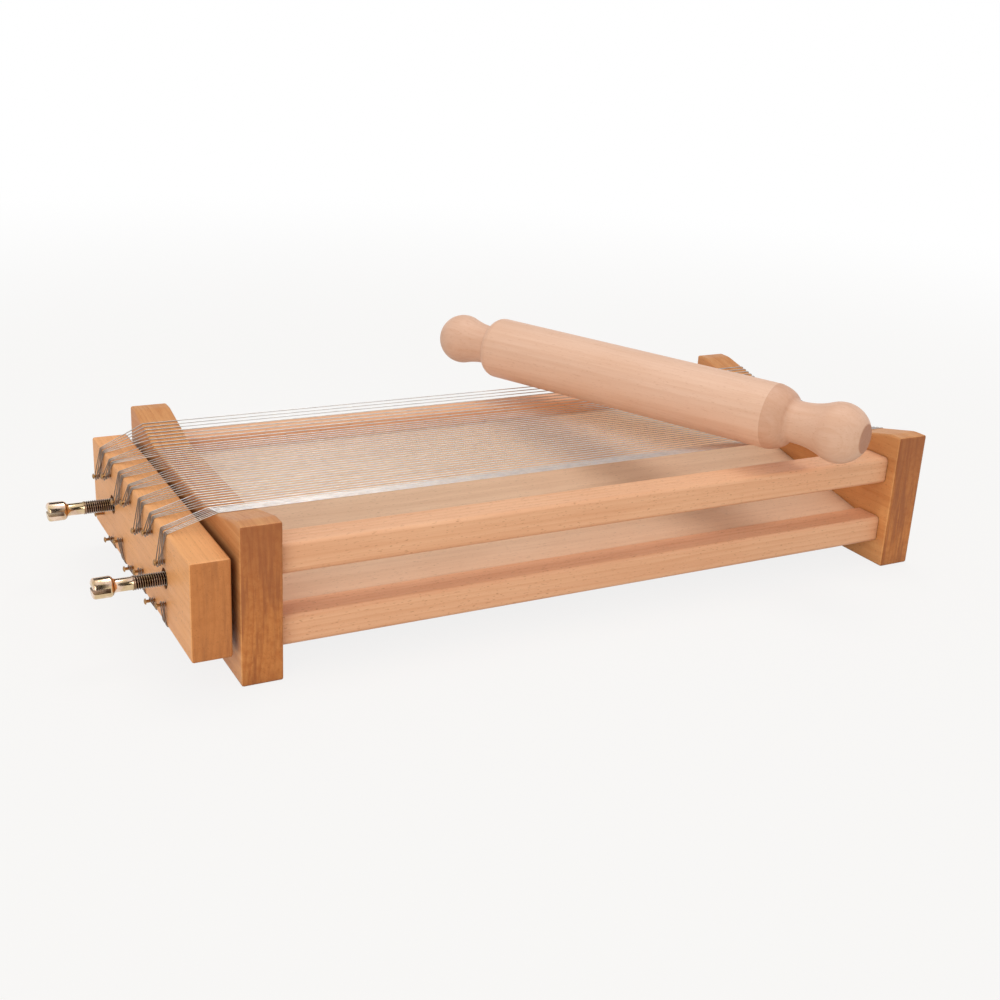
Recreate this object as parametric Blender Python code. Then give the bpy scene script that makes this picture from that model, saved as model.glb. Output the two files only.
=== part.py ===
"""Double-sided pasta chitarra with its rolling pin.

Two end blocks stand on four doweled rails. One steel wire is wound from nail to nail above the
frame and another below it. A loose tension block outside the left end block carries the left
nails, and two bolts in its nuts push it outwards.

All places are in the block frame: X runs along the wires from the left end block's outer face,
Y from the front face to the back, Z up from the floor. The stand empty shifts that frame so
that the middle of the footprint is the origin.
"""
import math

import bmesh
import bpy
import numpy as np
from mathutils import Matrix, Vector
from mathutils.kdtree import KDTree

# Fits shared by all pieces
CLEARANCE = 0.0003
CUT_OVERRUN = 0.002
WELD = 0.000001

# End blocks
BLOCK_THICKNESS = 0.0229
BLOCK_DEPTH = 0.2235
BLOCK_HEIGHT = 0.090
INNER_SPAN = 0.4182
EAR_FLAT = 0.010
EAR_REACH = 0.058
TOP_DIP = 0.011
FOOT_FLAT = 0.044
FOOT_STEP = 0.004
FOOT_RECESS = 0.011
DIP_ROUNDING = 0.020
STEP_ROUNDING = 0.003
ARRIS = 0.0012

# Rails
RAIL_THICKNESS = 0.0209
RAIL_HEIGHT = 0.0173
RAIL_SETBACK = 0.0077
RAIL_INSET = 0.0157
RAIL_ROUNDING = 0.0025

# Ramp board, housed in grooves of the lower front and upper back rail
RAMP_THICKNESS = 0.004
RAMP_HALF_RISE = 0.0166
GROOVE_DEPTH = 0.004

# Dowels
DOWEL_RADIUS = 0.004
DOWEL_IN_BLOCK = 0.016
DOWEL_IN_RAIL = 0.020
DOWEL_CHAMFER = 0.001

# Tension block
TENSION_THICKNESS = 0.0216
TENSION_DEPTH = 0.2182
TENSION_HEIGHT = 0.0554
TENSION_GAP = 0.0036

# Tension bolts, M8 with a slotted cylinder head
BOLT_SPREAD = 0.1189
BOLT_REACH = 0.0635
HEAD_RADIUS = 0.00575
HEAD_LENGTH = 0.0106
SHANK_RADIUS = 0.0036
SHANK_LENGTH = 0.0099
THREAD_RADIUS = 0.004
BOLT_CHAMFER = 0.0006
SLOT_WIDTH = 0.0026
SLOT_DEPTH = 0.0088
BOLT_HOLE_RADIUS = 0.0058

# Tee nuts in the tension block and thrust plates in the left end block
NUT_LENGTH = 0.013
NUT_FLANGE_RADIUS = 0.009
NUT_FLANGE_THICKNESS = 0.0012
PLATE_RADIUS = 0.009
PLATE_THICKNESS = 0.002
PLATE_CHAMFER = 0.0003

# Nails
NAIL_RADIUS = 0.0009
NAIL_HEAD_RADIUS = 0.0018
NAIL_HEAD_THICKNESS = 0.001
NAIL_OUT = 0.006
NAIL_IN = 0.012
NAIL_POINT = 0.003
NAIL_PITCH = 0.0242
NAIL_ROW_SHIFT = 0.01285
UPPER_NAIL_RISE = 0.010
LOWER_NAIL_DROP = 0.015
NAIL_STAGGER = 0.008
LEFT_NAILS = 7

# Strings: narrow spacing above the frame, wide spacing below it
WIRE_RADIUS = 0.0003
UPPER_RUNS = 42
UPPER_PER_NAIL = 6
UPPER_PITCH = 0.0038
UPPER_SHIFT = 0.006
LOWER_RUNS = 24
LOWER_PER_NAIL = 4
LOWER_PITCH = 0.0053
LOOP_FIRST_LAYER = 0.0012
LOOP_LAYER_PITCH = 0.0013
LOOP_GROWTH = 0.0005
LOOP_STEPS = 4
EDGE_STEPS = 2

# Rolling pin
PIN_MIDDLE_X = 0.3136
PIN_MIDDLE_Y = 0.12074
PIN_HEADING_DEG = 25.4
PIN_BARREL_RADIUS = 0.0211
PIN_BARREL_LENGTH = 0.2048
PIN_SHOULDER_LENGTH = 0.0185
PIN_SHOULDER_DROP = 0.0084
PIN_SHOULDER_START_DEG = 18
PIN_SHOULDER_END_DEG = 76
PIN_NECK_RADIUS = 0.0134
PIN_NECK_SPACING = 0.239
PIN_NEAR_KNOB_RADIUS = 0.0191
PIN_FAR_KNOB_RADIUS = 0.0173
PIN_KNOB_SPACING = 0.294
PIN_END_DISC_RADIUS = 0.009

# Facets
BOLT_SIDES = 32
NUT_SIDES = 24
PLATE_SIDES = 24
DOWEL_SIDES = 12
NAIL_SIDES = 8
PIN_SIDES = 28
FILLET_STEPS = 3
SMOOTH_ANGLE_DEG = 35
BEVEL_ANGLE_DEG = 50
GAP_STEP = 0.0004
GAP_WINDOW = 0.004
GAP_REACH = 0.003

# Places worked out from the sizes above
MIDDLE_Y = BLOCK_DEPTH / 2
MIDDLE_Z = BLOCK_HEIGHT / 2
LEFT_INNER_X = BLOCK_THICKNESS
RIGHT_INNER_X = BLOCK_THICKNESS + INNER_SPAN
RIGHT_OUTER_X = RIGHT_INNER_X + BLOCK_THICKNESS
TENSION_INNER_X = -TENSION_GAP
TENSION_OUTER_X = TENSION_INNER_X - TENSION_THICKNESS
RAIL_MIDDLES_Y = {
    "front": RAIL_SETBACK + RAIL_THICKNESS / 2,
    "back": BLOCK_DEPTH - RAIL_SETBACK - RAIL_THICKNESS / 2,
}
RAIL_MIDDLES_Z = {
    "upper": BLOCK_HEIGHT - RAIL_INSET - RAIL_HEIGHT / 2,
    "lower": RAIL_INSET + RAIL_HEIGHT / 2,
}
BOLT_PLACES = {
    "near": (0, MIDDLE_Y - BOLT_SPREAD / 2, MIDDLE_Z),
    "far": (0, MIDDLE_Y + BOLT_SPREAD / 2, MIDDLE_Z),
}
STRING_LIFT = WIRE_RADIUS + CLEARANCE


def clear_scene():
    """Remove every object of the open scene."""
    for old in list(bpy.data.objects):
        bpy.data.objects.remove(old, do_unlink=True)


def material(name, colour, roughness, metallic):
    """Principled material of one linear colour."""
    finish = bpy.data.materials.new(name)
    finish.use_nodes = True
    shader = finish.node_tree.nodes["Principled BSDF"]
    shader.inputs["Base Color"].default_value = (*colour, 1)
    shader.inputs["Roughness"].default_value = roughness
    shader.inputs["Metallic"].default_value = metallic
    return finish


def piece(name, bm, finish, place=(0, 0, 0)):
    """Make an object of a bmesh, hang it on the stand and free the bmesh."""
    bmesh.ops.recalc_face_normals(bm, faces=bm.faces)
    mesh = bpy.data.meshes.new(name)
    bm.to_mesh(mesh)
    bm.free()
    mesh.materials.append(finish)
    mesh.shade_smooth()
    mesh.set_sharp_from_angle(angle=math.radians(SMOOTH_ANGLE_DEG))
    body = bpy.data.objects.new(name, mesh)
    bpy.context.scene.collection.objects.link(body)
    body.parent = bpy.data.objects["stand"]
    body.location = place
    return body


def cutter(name, bm):
    """Make a hidden object that only cuts others."""
    tool = piece(name, bm, None)
    tool.hide_render = True
    tool.display_type = "WIRE"
    return tool


def cut(body, *tools):
    """Cut each tool out of the body."""
    for tool in tools:
        boolean = body.modifiers.new(tool.name, "BOOLEAN")
        boolean.operation = "DIFFERENCE"
        boolean.solver = "EXACT"
        boolean.object = tool


def ease(body):
    """Ease the sharp arrises of a wooden piece."""
    bevel = body.modifiers.new("eased_arrises", "BEVEL")
    bevel.width = ARRIS
    bevel.segments = 2
    bevel.limit_method = "ANGLE"
    bevel.angle_limit = math.radians(BEVEL_ANGLE_DEG)


def filleted(corners, radii):
    """Closed outline whose corners are rounded by arcs; a radius of zero keeps a corner sharp."""
    outline = []
    for index, corner in enumerate(corners):
        here = Vector(corner)
        before = Vector(corners[index - 1]) - here
        after = Vector(corners[(index + 1) % len(corners)]) - here
        if not radii[index]:
            outline.append(here)
            continue
        half = before.angle(after) / 2
        reach = min(radii[index] / math.tan(half), before.length / 2, after.length / 2)
        bisector = (before.normalized() + after.normalized()).normalized()
        centre = here + bisector * reach / math.cos(half)
        start = here + before.normalized() * reach - centre
        end = here + after.normalized() * reach - centre
        for step in range(FILLET_STEPS + 1):
            outline.append(centre + start.lerp(end, step / FILLET_STEPS).normalized() * start.length)
    return outline


def block_outline():
    """Side view of an end block as (y, z) points: two feet below, two ears above."""
    foot = [(0, 0), (FOOT_FLAT, 0), (FOOT_FLAT + FOOT_STEP, FOOT_RECESS)]
    ear = [(EAR_REACH, BLOCK_HEIGHT - TOP_DIP), (EAR_FLAT, BLOCK_HEIGHT), (0, BLOCK_HEIGHT)]
    foot_radii = [0, STEP_ROUNDING, STEP_ROUNDING]
    ear_radii = [DIP_ROUNDING, DIP_ROUNDING, 0]
    corners = foot + [(BLOCK_DEPTH - y, z) for y, z in foot[::-1]]
    corners += [(BLOCK_DEPTH - y, z) for y, z in ear[::-1]] + ear
    radii = foot_radii + foot_radii[::-1] + ear_radii[::-1] + ear_radii
    return filleted(corners, radii)


def top_height(y):
    """Height of an end block's top surface at y."""
    top = sorted((p.x, p.y) for p in block_outline() if p.y > MIDDLE_Z)
    return float(np.interp(y, [p[0] for p in top], [p[1] for p in top]))


def add_prism(bm, outline, start, end):
    """Add a closed outline of (y, z) points carried along X from start to end."""
    rings = [[bm.verts.new((x, y, z)) for y, z in outline] for x in (start, end)]
    for ring in rings:
        bm.faces.new(ring)
    for index in range(len(outline)):
        bm.faces.new((rings[0][index - 1], rings[0][index], rings[1][index], rings[1][index - 1]))


def add_box(bm, size, matrix):
    """Add a box of the given size, centred on the matrix's origin."""
    bmesh.ops.create_cube(bm, size=1, matrix=matrix @ Matrix.Diagonal((*size, 1)))


def add_turned(bm, outline, sides, place=(0, 0, 0), ring=False):
    """Add an outline of (along, radius) points turned about the X axis through place.

    An outline that starts and ends on the axis makes a solid; a ring's outline closes on itself.
    """
    verts = [bm.verts.new((place[0] + along, place[1] + radius, place[2])) for along, radius in outline]
    loop = verts + verts[:1] if ring else verts
    edges = [bm.edges.new(pair) for pair in zip(loop, loop[1:])]
    bmesh.ops.spin(bm, geom=verts + edges, cent=place, axis=(1, 0, 0), angle=math.tau, steps=sides,
                   use_merge=True)
    bmesh.ops.remove_doubles(bm, verts=bm.verts, dist=WELD)


def add_rod(bm, start, end, radius, chamfer, sides, place):
    """Add a round rod along X from start to end, with a chamfer at both ends."""
    outline = [
        (start, 0),
        (start, radius - chamfer),
        (start + chamfer, radius),
        (end - chamfer, radius),
        (end, radius - chamfer),
        (end, 0),
    ]
    add_turned(bm, outline, sides, place)


def add_hole(bm, start, end, radius, sides, place):
    """Add a plain round cutter along X from start to end."""
    add_turned(bm, [(start, 0), (start, radius), (end, radius), (end, 0)], sides, place)


def build_end_blocks(finish, dowel_holes, nail_holes):
    """Both end blocks, with the thrust plates' recesses in the left one."""
    for name, inner, outer in (
        ("end_block_left", LEFT_INNER_X, 0),
        ("end_block_right", RIGHT_INNER_X, RIGHT_OUTER_X),
    ):
        bm = bmesh.new()
        add_prism(bm, block_outline(), min(inner, outer), max(inner, outer))
        ease(piece(name, bm, finish))
    recesses = bmesh.new()
    for place in BOLT_PLACES.values():
        add_hole(recesses, -CUT_OVERRUN, PLATE_THICKNESS + CLEARANCE, PLATE_RADIUS + CLEARANCE,
                 PLATE_SIDES, place)
    cut(bpy.data.objects["end_block_left"], dowel_holes, cutter("plate_recesses", recesses))
    cut(bpy.data.objects["end_block_right"], dowel_holes, nail_holes)


def rail_corners(side, level):
    """Corner points of a rail's cross-section."""
    y, z = RAIL_MIDDLES_Y[side], RAIL_MIDDLES_Z[level]
    half_y, half_z = RAIL_THICKNESS / 2, RAIL_HEIGHT / 2
    return [(y - half_y, z - half_z), (y + half_y, z - half_z), (y + half_y, z + half_z),
            (y - half_y, z + half_z)]


def build_rails(finish, dowel_holes, grooves):
    """The four rails between the end blocks; two of them house the ramp board."""
    grooved = {("front", "lower"), ("back", "upper")}
    for side in RAIL_MIDDLES_Y:
        for level in RAIL_MIDDLES_Z:
            bm = bmesh.new()
            outline = filleted(rail_corners(side, level), [RAIL_ROUNDING] * 4)
            add_prism(bm, outline, LEFT_INNER_X + CLEARANCE, RIGHT_INNER_X - CLEARANCE)
            rail = piece(f"rail_{side}_{level}", bm, finish)
            cut(rail, dowel_holes)
            if (side, level) in grooved:
                cut(rail, grooves)


def build_dowels(finish):
    """One dowel across each joint of rail and end block, and the cutter of their holes."""
    holes = bmesh.new()
    for side, y in RAIL_MIDDLES_Y.items():
        for level, z in RAIL_MIDDLES_Z.items():
            for end, joint_x, inward in (("left", LEFT_INNER_X, 1), ("right", RIGHT_INNER_X, -1)):
                limits = sorted((joint_x - inward * DOWEL_IN_BLOCK, joint_x + inward * DOWEL_IN_RAIL))
                bm = bmesh.new()
                add_rod(bm, *limits, DOWEL_RADIUS, DOWEL_CHAMFER, DOWEL_SIDES, (0, y, z))
                piece(f"dowel_{side}_{level}_{end}", bm, finish)
                add_hole(holes, limits[0] - CLEARANCE, limits[1] + CLEARANCE,
                         DOWEL_RADIUS + CLEARANCE, DOWEL_SIDES, (0, y, z))
    return cutter("dowel_holes", holes)


def ramp_frame():
    """Matrix of the ramp's middle and the length of its slope between the rails' inner faces."""
    run = (RAIL_MIDDLES_Y["back"] - RAIL_MIDDLES_Y["front"]) - RAIL_THICKNESS
    rise = 2 * RAMP_HALF_RISE
    middle = ((LEFT_INNER_X + RIGHT_INNER_X) / 2, MIDDLE_Y, MIDDLE_Z)
    matrix = Matrix.Translation(middle) @ Matrix.Rotation(math.atan2(rise, run), 4, "X")
    return matrix, math.hypot(run, rise)


def build_ramp(finish):
    """The sloping board, and the cutter of the grooves that house its long edges."""
    matrix, slope = ramp_frame()
    board = bmesh.new()
    add_box(board, (INNER_SPAN - 2 * CLEARANCE, slope + 2 * GROOVE_DEPTH, RAMP_THICKNESS), matrix)
    piece("ramp_board", board, finish)
    grooves = bmesh.new()
    add_box(grooves, (INNER_SPAN + 2 * CUT_OVERRUN, slope + 2 * (GROOVE_DEPTH + CLEARANCE),
                      RAMP_THICKNESS + 2 * CLEARANCE), matrix)
    return cutter("ramp_grooves", grooves)


def build_tension_block(finish, nail_holes):
    """The loose block with its two bolt holes and the seats of the tee nuts' flanges."""
    block = bmesh.new()
    size = (TENSION_THICKNESS, TENSION_DEPTH, TENSION_HEIGHT)
    middle = ((TENSION_INNER_X + TENSION_OUTER_X) / 2, MIDDLE_Y, MIDDLE_Z)
    add_box(block, size, Matrix.Translation(middle))
    body = piece("tension_block", block, finish)
    ease(body)
    holes = bmesh.new()
    seat = TENSION_INNER_X - NUT_FLANGE_THICKNESS - CLEARANCE
    outline = [
        (TENSION_OUTER_X - CUT_OVERRUN, 0),
        (TENSION_OUTER_X - CUT_OVERRUN, BOLT_HOLE_RADIUS),
        (seat, BOLT_HOLE_RADIUS),
        (seat, NUT_FLANGE_RADIUS + CLEARANCE),
        (TENSION_INNER_X + CUT_OVERRUN, NUT_FLANGE_RADIUS + CLEARANCE),
        (TENSION_INNER_X + CUT_OVERRUN, 0),
    ]
    for place in BOLT_PLACES.values():
        add_turned(holes, outline, NUT_SIDES, place)
    cut(body, cutter("bolt_holes", holes), nail_holes)


def build_tee_nuts(finish):
    """A flanged nut for each bolt, sunk flush in the tension block's inner face."""
    bore = THREAD_RADIUS + CLEARANCE
    barrel = BOLT_HOLE_RADIUS - CLEARANCE
    under_flange = TENSION_INNER_X - NUT_FLANGE_THICKNESS
    outline = [
        (TENSION_INNER_X, bore),
        (TENSION_INNER_X, NUT_FLANGE_RADIUS),
        (under_flange, NUT_FLANGE_RADIUS),
        (under_flange, barrel),
        (TENSION_INNER_X - NUT_LENGTH, barrel),
        (TENSION_INNER_X - NUT_LENGTH, bore),
    ]
    for side, place in BOLT_PLACES.items():
        bm = bmesh.new()
        add_turned(bm, outline, NUT_SIDES, ring=True)
        piece(f"tee_nut_{side}", bm, finish, place)


def build_thrust_plates(finish):
    """A steel disc for each bolt's tip, flush in the left end block's outer face."""
    for side, place in BOLT_PLACES.items():
        bm = bmesh.new()
        add_rod(bm, 0, PLATE_THICKNESS, PLATE_RADIUS, PLATE_CHAMFER, PLATE_SIDES, (0, 0, 0))
        piece(f"thrust_plate_{side}", bm, finish, place)


def build_bolts(finish):
    """Two bolts turned about their own axes, each with a slot across its head."""
    head_end = -BOLT_REACH + HEAD_LENGTH
    shank_end = head_end + SHANK_LENGTH
    tip = -CLEARANCE
    outline = [
        (-BOLT_REACH, 0),
        (-BOLT_REACH, HEAD_RADIUS - BOLT_CHAMFER),
        (-BOLT_REACH + BOLT_CHAMFER, HEAD_RADIUS),
        (head_end - BOLT_CHAMFER, HEAD_RADIUS),
        (head_end, HEAD_RADIUS - BOLT_CHAMFER),
        (head_end, SHANK_RADIUS),
        (shank_end, SHANK_RADIUS),
        (shank_end + BOLT_CHAMFER, THREAD_RADIUS),
        (tip - BOLT_CHAMFER, THREAD_RADIUS),
        (tip, THREAD_RADIUS - BOLT_CHAMFER),
        (tip, 0),
    ]
    slots = bmesh.new()
    slot_middle = -BOLT_REACH + (SLOT_DEPTH - CUT_OVERRUN) / 2
    for _, y, z in BOLT_PLACES.values():
        add_box(slots, (SLOT_DEPTH + CUT_OVERRUN, 2 * (HEAD_RADIUS + CUT_OVERRUN), SLOT_WIDTH),
                Matrix.Translation((slot_middle, y, z)))
    slot_cutter = cutter("bolt_slots", slots)
    for side, place in BOLT_PLACES.items():
        bm = bmesh.new()
        add_turned(bm, outline, BOLT_SIDES)
        cut(piece(f"tension_bolt_{side}", bm, finish, place), slot_cutter)


def nail_lift(level, column):
    """Height of a nail's axis from the blocks' middle, outwards on its own level."""
    base = UPPER_NAIL_RISE if level == "upper" else LOWER_NAIL_DROP
    return base + NAIL_STAGGER * (column % 2)


def left_nail_y(column):
    """Place of a nail of the tension block along Y."""
    return MIDDLE_Y + NAIL_ROW_SHIFT + NAIL_PITCH * (column - (LEFT_NAILS - 1) / 2)


def string_set(level):
    """Count of runs, runs per nail, pitch and the first run's place for one level."""
    runs, per_nail, pitch, shift = {
        "upper": (UPPER_RUNS, UPPER_PER_NAIL, UPPER_PITCH, UPPER_SHIFT),
        "lower": (LOWER_RUNS, LOWER_PER_NAIL, LOWER_PITCH, 0),
    }[level]
    return runs, per_nail, pitch, MIDDLE_Y + shift - pitch * (runs - 1) / 2


def right_nail_y(level, column):
    """Place of a nail of the right end block along Y, half a group off the left nails' groups."""
    _, per_nail, pitch, first = string_set(level)
    return first - pitch / 2 + per_nail * pitch * column


def nail_places():
    """Name, outer face, outward direction, y and z of every nail."""
    for level, up in (("upper", 1), ("lower", -1)):
        runs, per_nail, _, _ = string_set(level)
        for column in range(LEFT_NAILS):
            yield (f"nail_left_{level}_{column + 1}", TENSION_OUTER_X, -1, left_nail_y(column),
                   MIDDLE_Z + up * nail_lift(level, column))
        for column in range(runs // per_nail + 1):
            yield (f"nail_right_{level}_{column + 1}", RIGHT_OUTER_X, 1, right_nail_y(level, column),
                   MIDDLE_Z + up * nail_lift(level, column))


def build_nails(finish):
    """Headed nails with their points in the wood, and the cutter of their holes."""
    outline = [
        (NAIL_OUT, 0),
        (NAIL_OUT, NAIL_HEAD_RADIUS),
        (NAIL_OUT - NAIL_HEAD_THICKNESS, NAIL_HEAD_RADIUS),
        (NAIL_OUT - NAIL_HEAD_THICKNESS, NAIL_RADIUS),
        (NAIL_POINT - NAIL_IN, NAIL_RADIUS),
        (-NAIL_IN, 0),
    ]
    holes = bmesh.new()
    for name, face_x, outward, y, z in nail_places():
        bm = bmesh.new()
        add_turned(bm, [(outward * along, radius) for along, radius in outline], NAIL_SIDES)
        piece(name, bm, finish, (face_x, y, z))
        limits = sorted((face_x - outward * (NAIL_IN + CLEARANCE), face_x + outward * CUT_OVERRUN))
        add_hole(holes, *limits, NAIL_RADIUS + CLEARANCE, NAIL_SIDES, (0, y, z))
    return cutter("nail_holes", holes)


def left_pairs(runs, per_nail):
    """Runs joined round each left nail, nested: {run: (partner, nail, rank from the nail)}."""
    half = per_nail // 2
    pairs = {}
    for nail in range(runs // per_nail):
        middle = nail * per_nail + half
        for rank in range(half):
            low, high = middle - 1 - rank, middle + rank
            pairs[low] = (high, nail, rank)
            pairs[high] = (low, nail, rank)
    return pairs


def right_pairs(runs, per_nail):
    """The same for the right nails, half a group off, so that one wire passes every run."""
    half = per_nail // 2
    pairs = {}
    for nail in range(1, runs // per_nail):
        middle = nail * per_nail
        for rank in range(half):
            low, high = middle - 1 - rank, middle + rank
            pairs[low] = (high, nail, rank)
            pairs[high] = (low, nail, rank)
    for low, nail in [(low, 0) for low in range(1, half - 1, 2)] + [(runs - 2, runs // per_nail)]:
        pairs[low] = (low + 1, nail, 0)
        pairs[low + 1] = (low, nail, 0)
    return pairs


def around_edge(centre_x, centre_lift, start, end, bends):
    """Corners of a wire bent round an eased edge, from one outward normal's angle to another's.

    Their polygon touches the circle of the arris radius and the wire's lift from outside.
    """
    part = (end - start) / (2 * bends)
    radius = (ARRIS + STRING_LIFT) / math.cos(part)
    angles = [start + part * (2 * bend + 1) for bend in range(bends)]
    return [(centre_x + radius * math.cos(a), centre_lift + radius * math.sin(a)) for a in angles]


class Winding:
    """One wire wound from nail to nail on one level; lifts are measured from the blocks' middle."""

    def __init__(self, level):
        self.level = level
        self.up = 1 if level == "upper" else -1
        self.runs, self.per_nail, self.pitch, self.first = string_set(level)
        self.left = left_pairs(self.runs, self.per_nail)
        self.right = right_pairs(self.runs, self.per_nail)

    def run_y(self, run):
        """Place of a run along Y."""
        return self.first + self.pitch * run

    def rest_lift(self, y):
        """Lift of the end blocks' surface that the wire rests on."""
        if self.level == "upper":
            return top_height(y) - MIDDLE_Z
        return MIDDLE_Z - FOOT_RECESS

    def loop_radius(self, rank):
        """Radius of a loop's corners: the first clears the nail, the others grow evenly."""
        first = (NAIL_RADIUS + STRING_LIFT) / math.cos(math.pi / (2 * LOOP_STEPS))
        return first + LOOP_GROWTH * rank

    def loop(self, face_x, outward, nail_y, lift, rank):
        """Half loop on the inner side of a nail, from its low y side to its high one."""
        x = face_x + outward * (LOOP_FIRST_LAYER + LOOP_LAYER_PITCH * rank)
        radius = self.loop_radius(rank)
        angles = [math.pi * (1 + step / LOOP_STEPS) for step in range(LOOP_STEPS + 1)]
        return [(x, nail_y + radius * math.cos(a), lift + radius * math.sin(a)) for a in angles]

    def left_loop(self, run):
        """Loop round the run's left nail, from the run's own side."""
        partner, nail, rank = self.left[run]
        points = self.loop(TENSION_OUTER_X, -1, left_nail_y(nail), nail_lift(self.level, nail), rank)
        return points if run < partner else points[::-1]

    def right_loop(self, run):
        """Loop round the run's right nail; a free end takes the layer outside the pairs."""
        last_nail = self.runs // self.per_nail
        free = (run, 0 if run < self.runs / 2 else last_nail, self.free_rank(run))
        partner, nail, rank = self.right.get(run, free)
        points = self.loop(RIGHT_OUTER_X, 1, right_nail_y(self.level, nail),
                           nail_lift(self.level, nail), rank)
        return points if run <= partner else points[::-1]

    def free_rank(self, run):
        """Layer of a free end, counted after the pair or the other free end on its nail."""
        return 1 if run or (run + 1) in self.right else 0

    def left_leg(self, run):
        """Points from the left nail over the tension block's edge to the left end block's edge."""
        y = self.run_y(run)
        low, high = TENSION_HEIGHT / 2, self.rest_lift(y)
        climb = math.atan2(high - low, -TENSION_OUTER_X)
        nail_point = self.left_loop(run)[0]
        drop = low - nail_point[2]
        share = drop / (drop + math.hypot(high - low, TENSION_OUTER_X))
        edge_y = nail_point[1] + share * (y - nail_point[1])
        block = around_edge(TENSION_OUTER_X + ARRIS, low - ARRIS, math.pi, math.pi / 2 + climb,
                            EDGE_STEPS)
        stop = around_edge(ARRIS, high - ARRIS, math.pi / 2 + climb, math.pi / 2, 1)
        return [(x, edge_y, lift) for x, lift in block] + [(x, y, lift) for x, lift in stop]

    def right_leg(self, run):
        """Points from the run over the right end block's edge to the nail below it."""
        y = self.run_y(run)
        edge = around_edge(RIGHT_OUTER_X - ARRIS, self.rest_lift(y) - ARRIS, math.pi / 2, 0,
                           EDGE_STEPS)
        return [(x, y, lift) for x, lift in edge]

    def order(self):
        """Runs in the order in which the wire passes them, starting on the right at the first."""
        runs = [0]
        pairs = self.left
        while runs[-1] in pairs:
            runs.append(pairs[runs[-1]][0])
            pairs = self.right if pairs is self.left else self.left
        return runs

    def free_end(self, run):
        """The wire's end: a loop round its nail and a straight end one diameter long."""
        loop = self.right_loop(run)[::-1]
        x, y, lift = loop[0]
        return [(x, y, lift + 2 * WIRE_RADIUS)] + loop

    def path(self):
        """All corner points of the wire, from end to end."""
        order = self.order()
        points = self.free_end(order[0])
        for place, run in enumerate(order):
            legs = self.right_leg(run)[::-1] + self.left_leg(run)[::-1]
            if place % 2:
                points += legs[::-1] + (self.right_loop(run) if run != order[-1] else [])
            else:
                points += legs + self.left_loop(run)
        points += self.free_end(order[-1])[::-1]
        return [Vector((x, y, MIDDLE_Z + self.up * lift)) for x, y, lift in points]


def least_gap(points):
    """Smallest gap of a wire to itself, measured on points along it."""
    samples = []
    travelled = 0.0
    for start, end in zip(points, points[1:]):
        length = (end - start).length
        count = max(math.ceil(length / GAP_STEP), 1)
        for step in range(count):
            share = step / count
            samples.append((start.lerp(end, share), travelled + share * length))
        travelled += length
    tree = KDTree(len(samples))
    for index, (place, _) in enumerate(samples):
        tree.insert(place, index)
    tree.balance()
    least = GAP_REACH
    for place, along in samples:
        for _, other, distance in tree.find_range(place, least):
            if abs(samples[other][1] - along) > GAP_WINDOW:
                least = min(least, distance)
    return least - 2 * WIRE_RADIUS


def build_strings(level, finish):
    """One unbroken wire as a round tube along its winding."""
    points = Winding(level).path()
    curve = bpy.data.curves.new(f"strings_{level}", "CURVE")
    curve.dimensions = "3D"
    curve.bevel_depth = WIRE_RADIUS
    curve.bevel_resolution = 1
    curve.use_fill_caps = True
    spline = curve.splines.new("POLY")
    spline.points.add(len(points) - 1)
    for point, place in zip(spline.points, points):
        point.co = (*place, 1)
    curve.materials.append(finish)
    wire = bpy.data.objects.new(f"strings_{level}", curve)
    bpy.context.scene.collection.objects.link(wire)
    wire.parent = bpy.data.objects["stand"]
    print(f"strings_{level}: least gap to itself {least_gap(points):.6f} m over {len(points)} points")


def arc(centre, radius, start_deg, end_deg, steps):
    """Points (along, radius) on an ellipse, with angles measured from the outward radius."""
    angles = [math.radians(start_deg + (end_deg - start_deg) * step / steps) for step in range(steps + 1)]
    return [(centre[0] + radius[0] * math.sin(a), centre[1] + radius[1] * math.cos(a)) for a in angles]


def pin_half_outline(knob_radius):
    """Half of the pin's outline from its barrel's end to the flat end of a knob."""
    half_barrel = PIN_BARREL_LENGTH / 2
    size = (PIN_SHOULDER_LENGTH, PIN_SHOULDER_DROP)
    first, last = math.radians(PIN_SHOULDER_START_DEG), math.radians(PIN_SHOULDER_END_DEG)
    shoulder_centre = (half_barrel - size[0] * math.sin(first),
                       PIN_BARREL_RADIUS - size[1] * math.cos(first))
    outline = arc(shoulder_centre, size, PIN_SHOULDER_START_DEG, PIN_SHOULDER_END_DEG, 5)
    slope = math.atan2(size[1] * math.sin(last), size[0] * math.cos(last))
    hollow = (outline[-1][1] - PIN_NECK_RADIUS) / (1 - math.cos(slope))
    hollow_centre = (outline[-1][0] + hollow * math.sin(slope), PIN_NECK_RADIUS + hollow)
    outline += arc(hollow_centre, (hollow, -hollow), -math.degrees(slope), 0, 2)[1:]
    neck, knob = PIN_NECK_SPACING / 2, PIN_KNOB_SPACING / 2
    reach_squared = (knob - neck) ** 2 + PIN_NECK_RADIUS ** 2 - knob_radius ** 2
    throat = reach_squared / (2 * (knob_radius - PIN_NECK_RADIUS))
    lean = math.degrees(math.asin((knob - neck) / (knob_radius + throat)))
    outline += arc((neck, PIN_NECK_RADIUS + throat), (throat, -throat), 0, lean, 3)
    flat = math.degrees(math.acos(PIN_END_DISC_RADIUS / knob_radius))
    outline += arc((knob, 0), (knob_radius, knob_radius), -lean, flat, 8)[1:]
    return outline + [(outline[-1][0], 0)]


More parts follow.
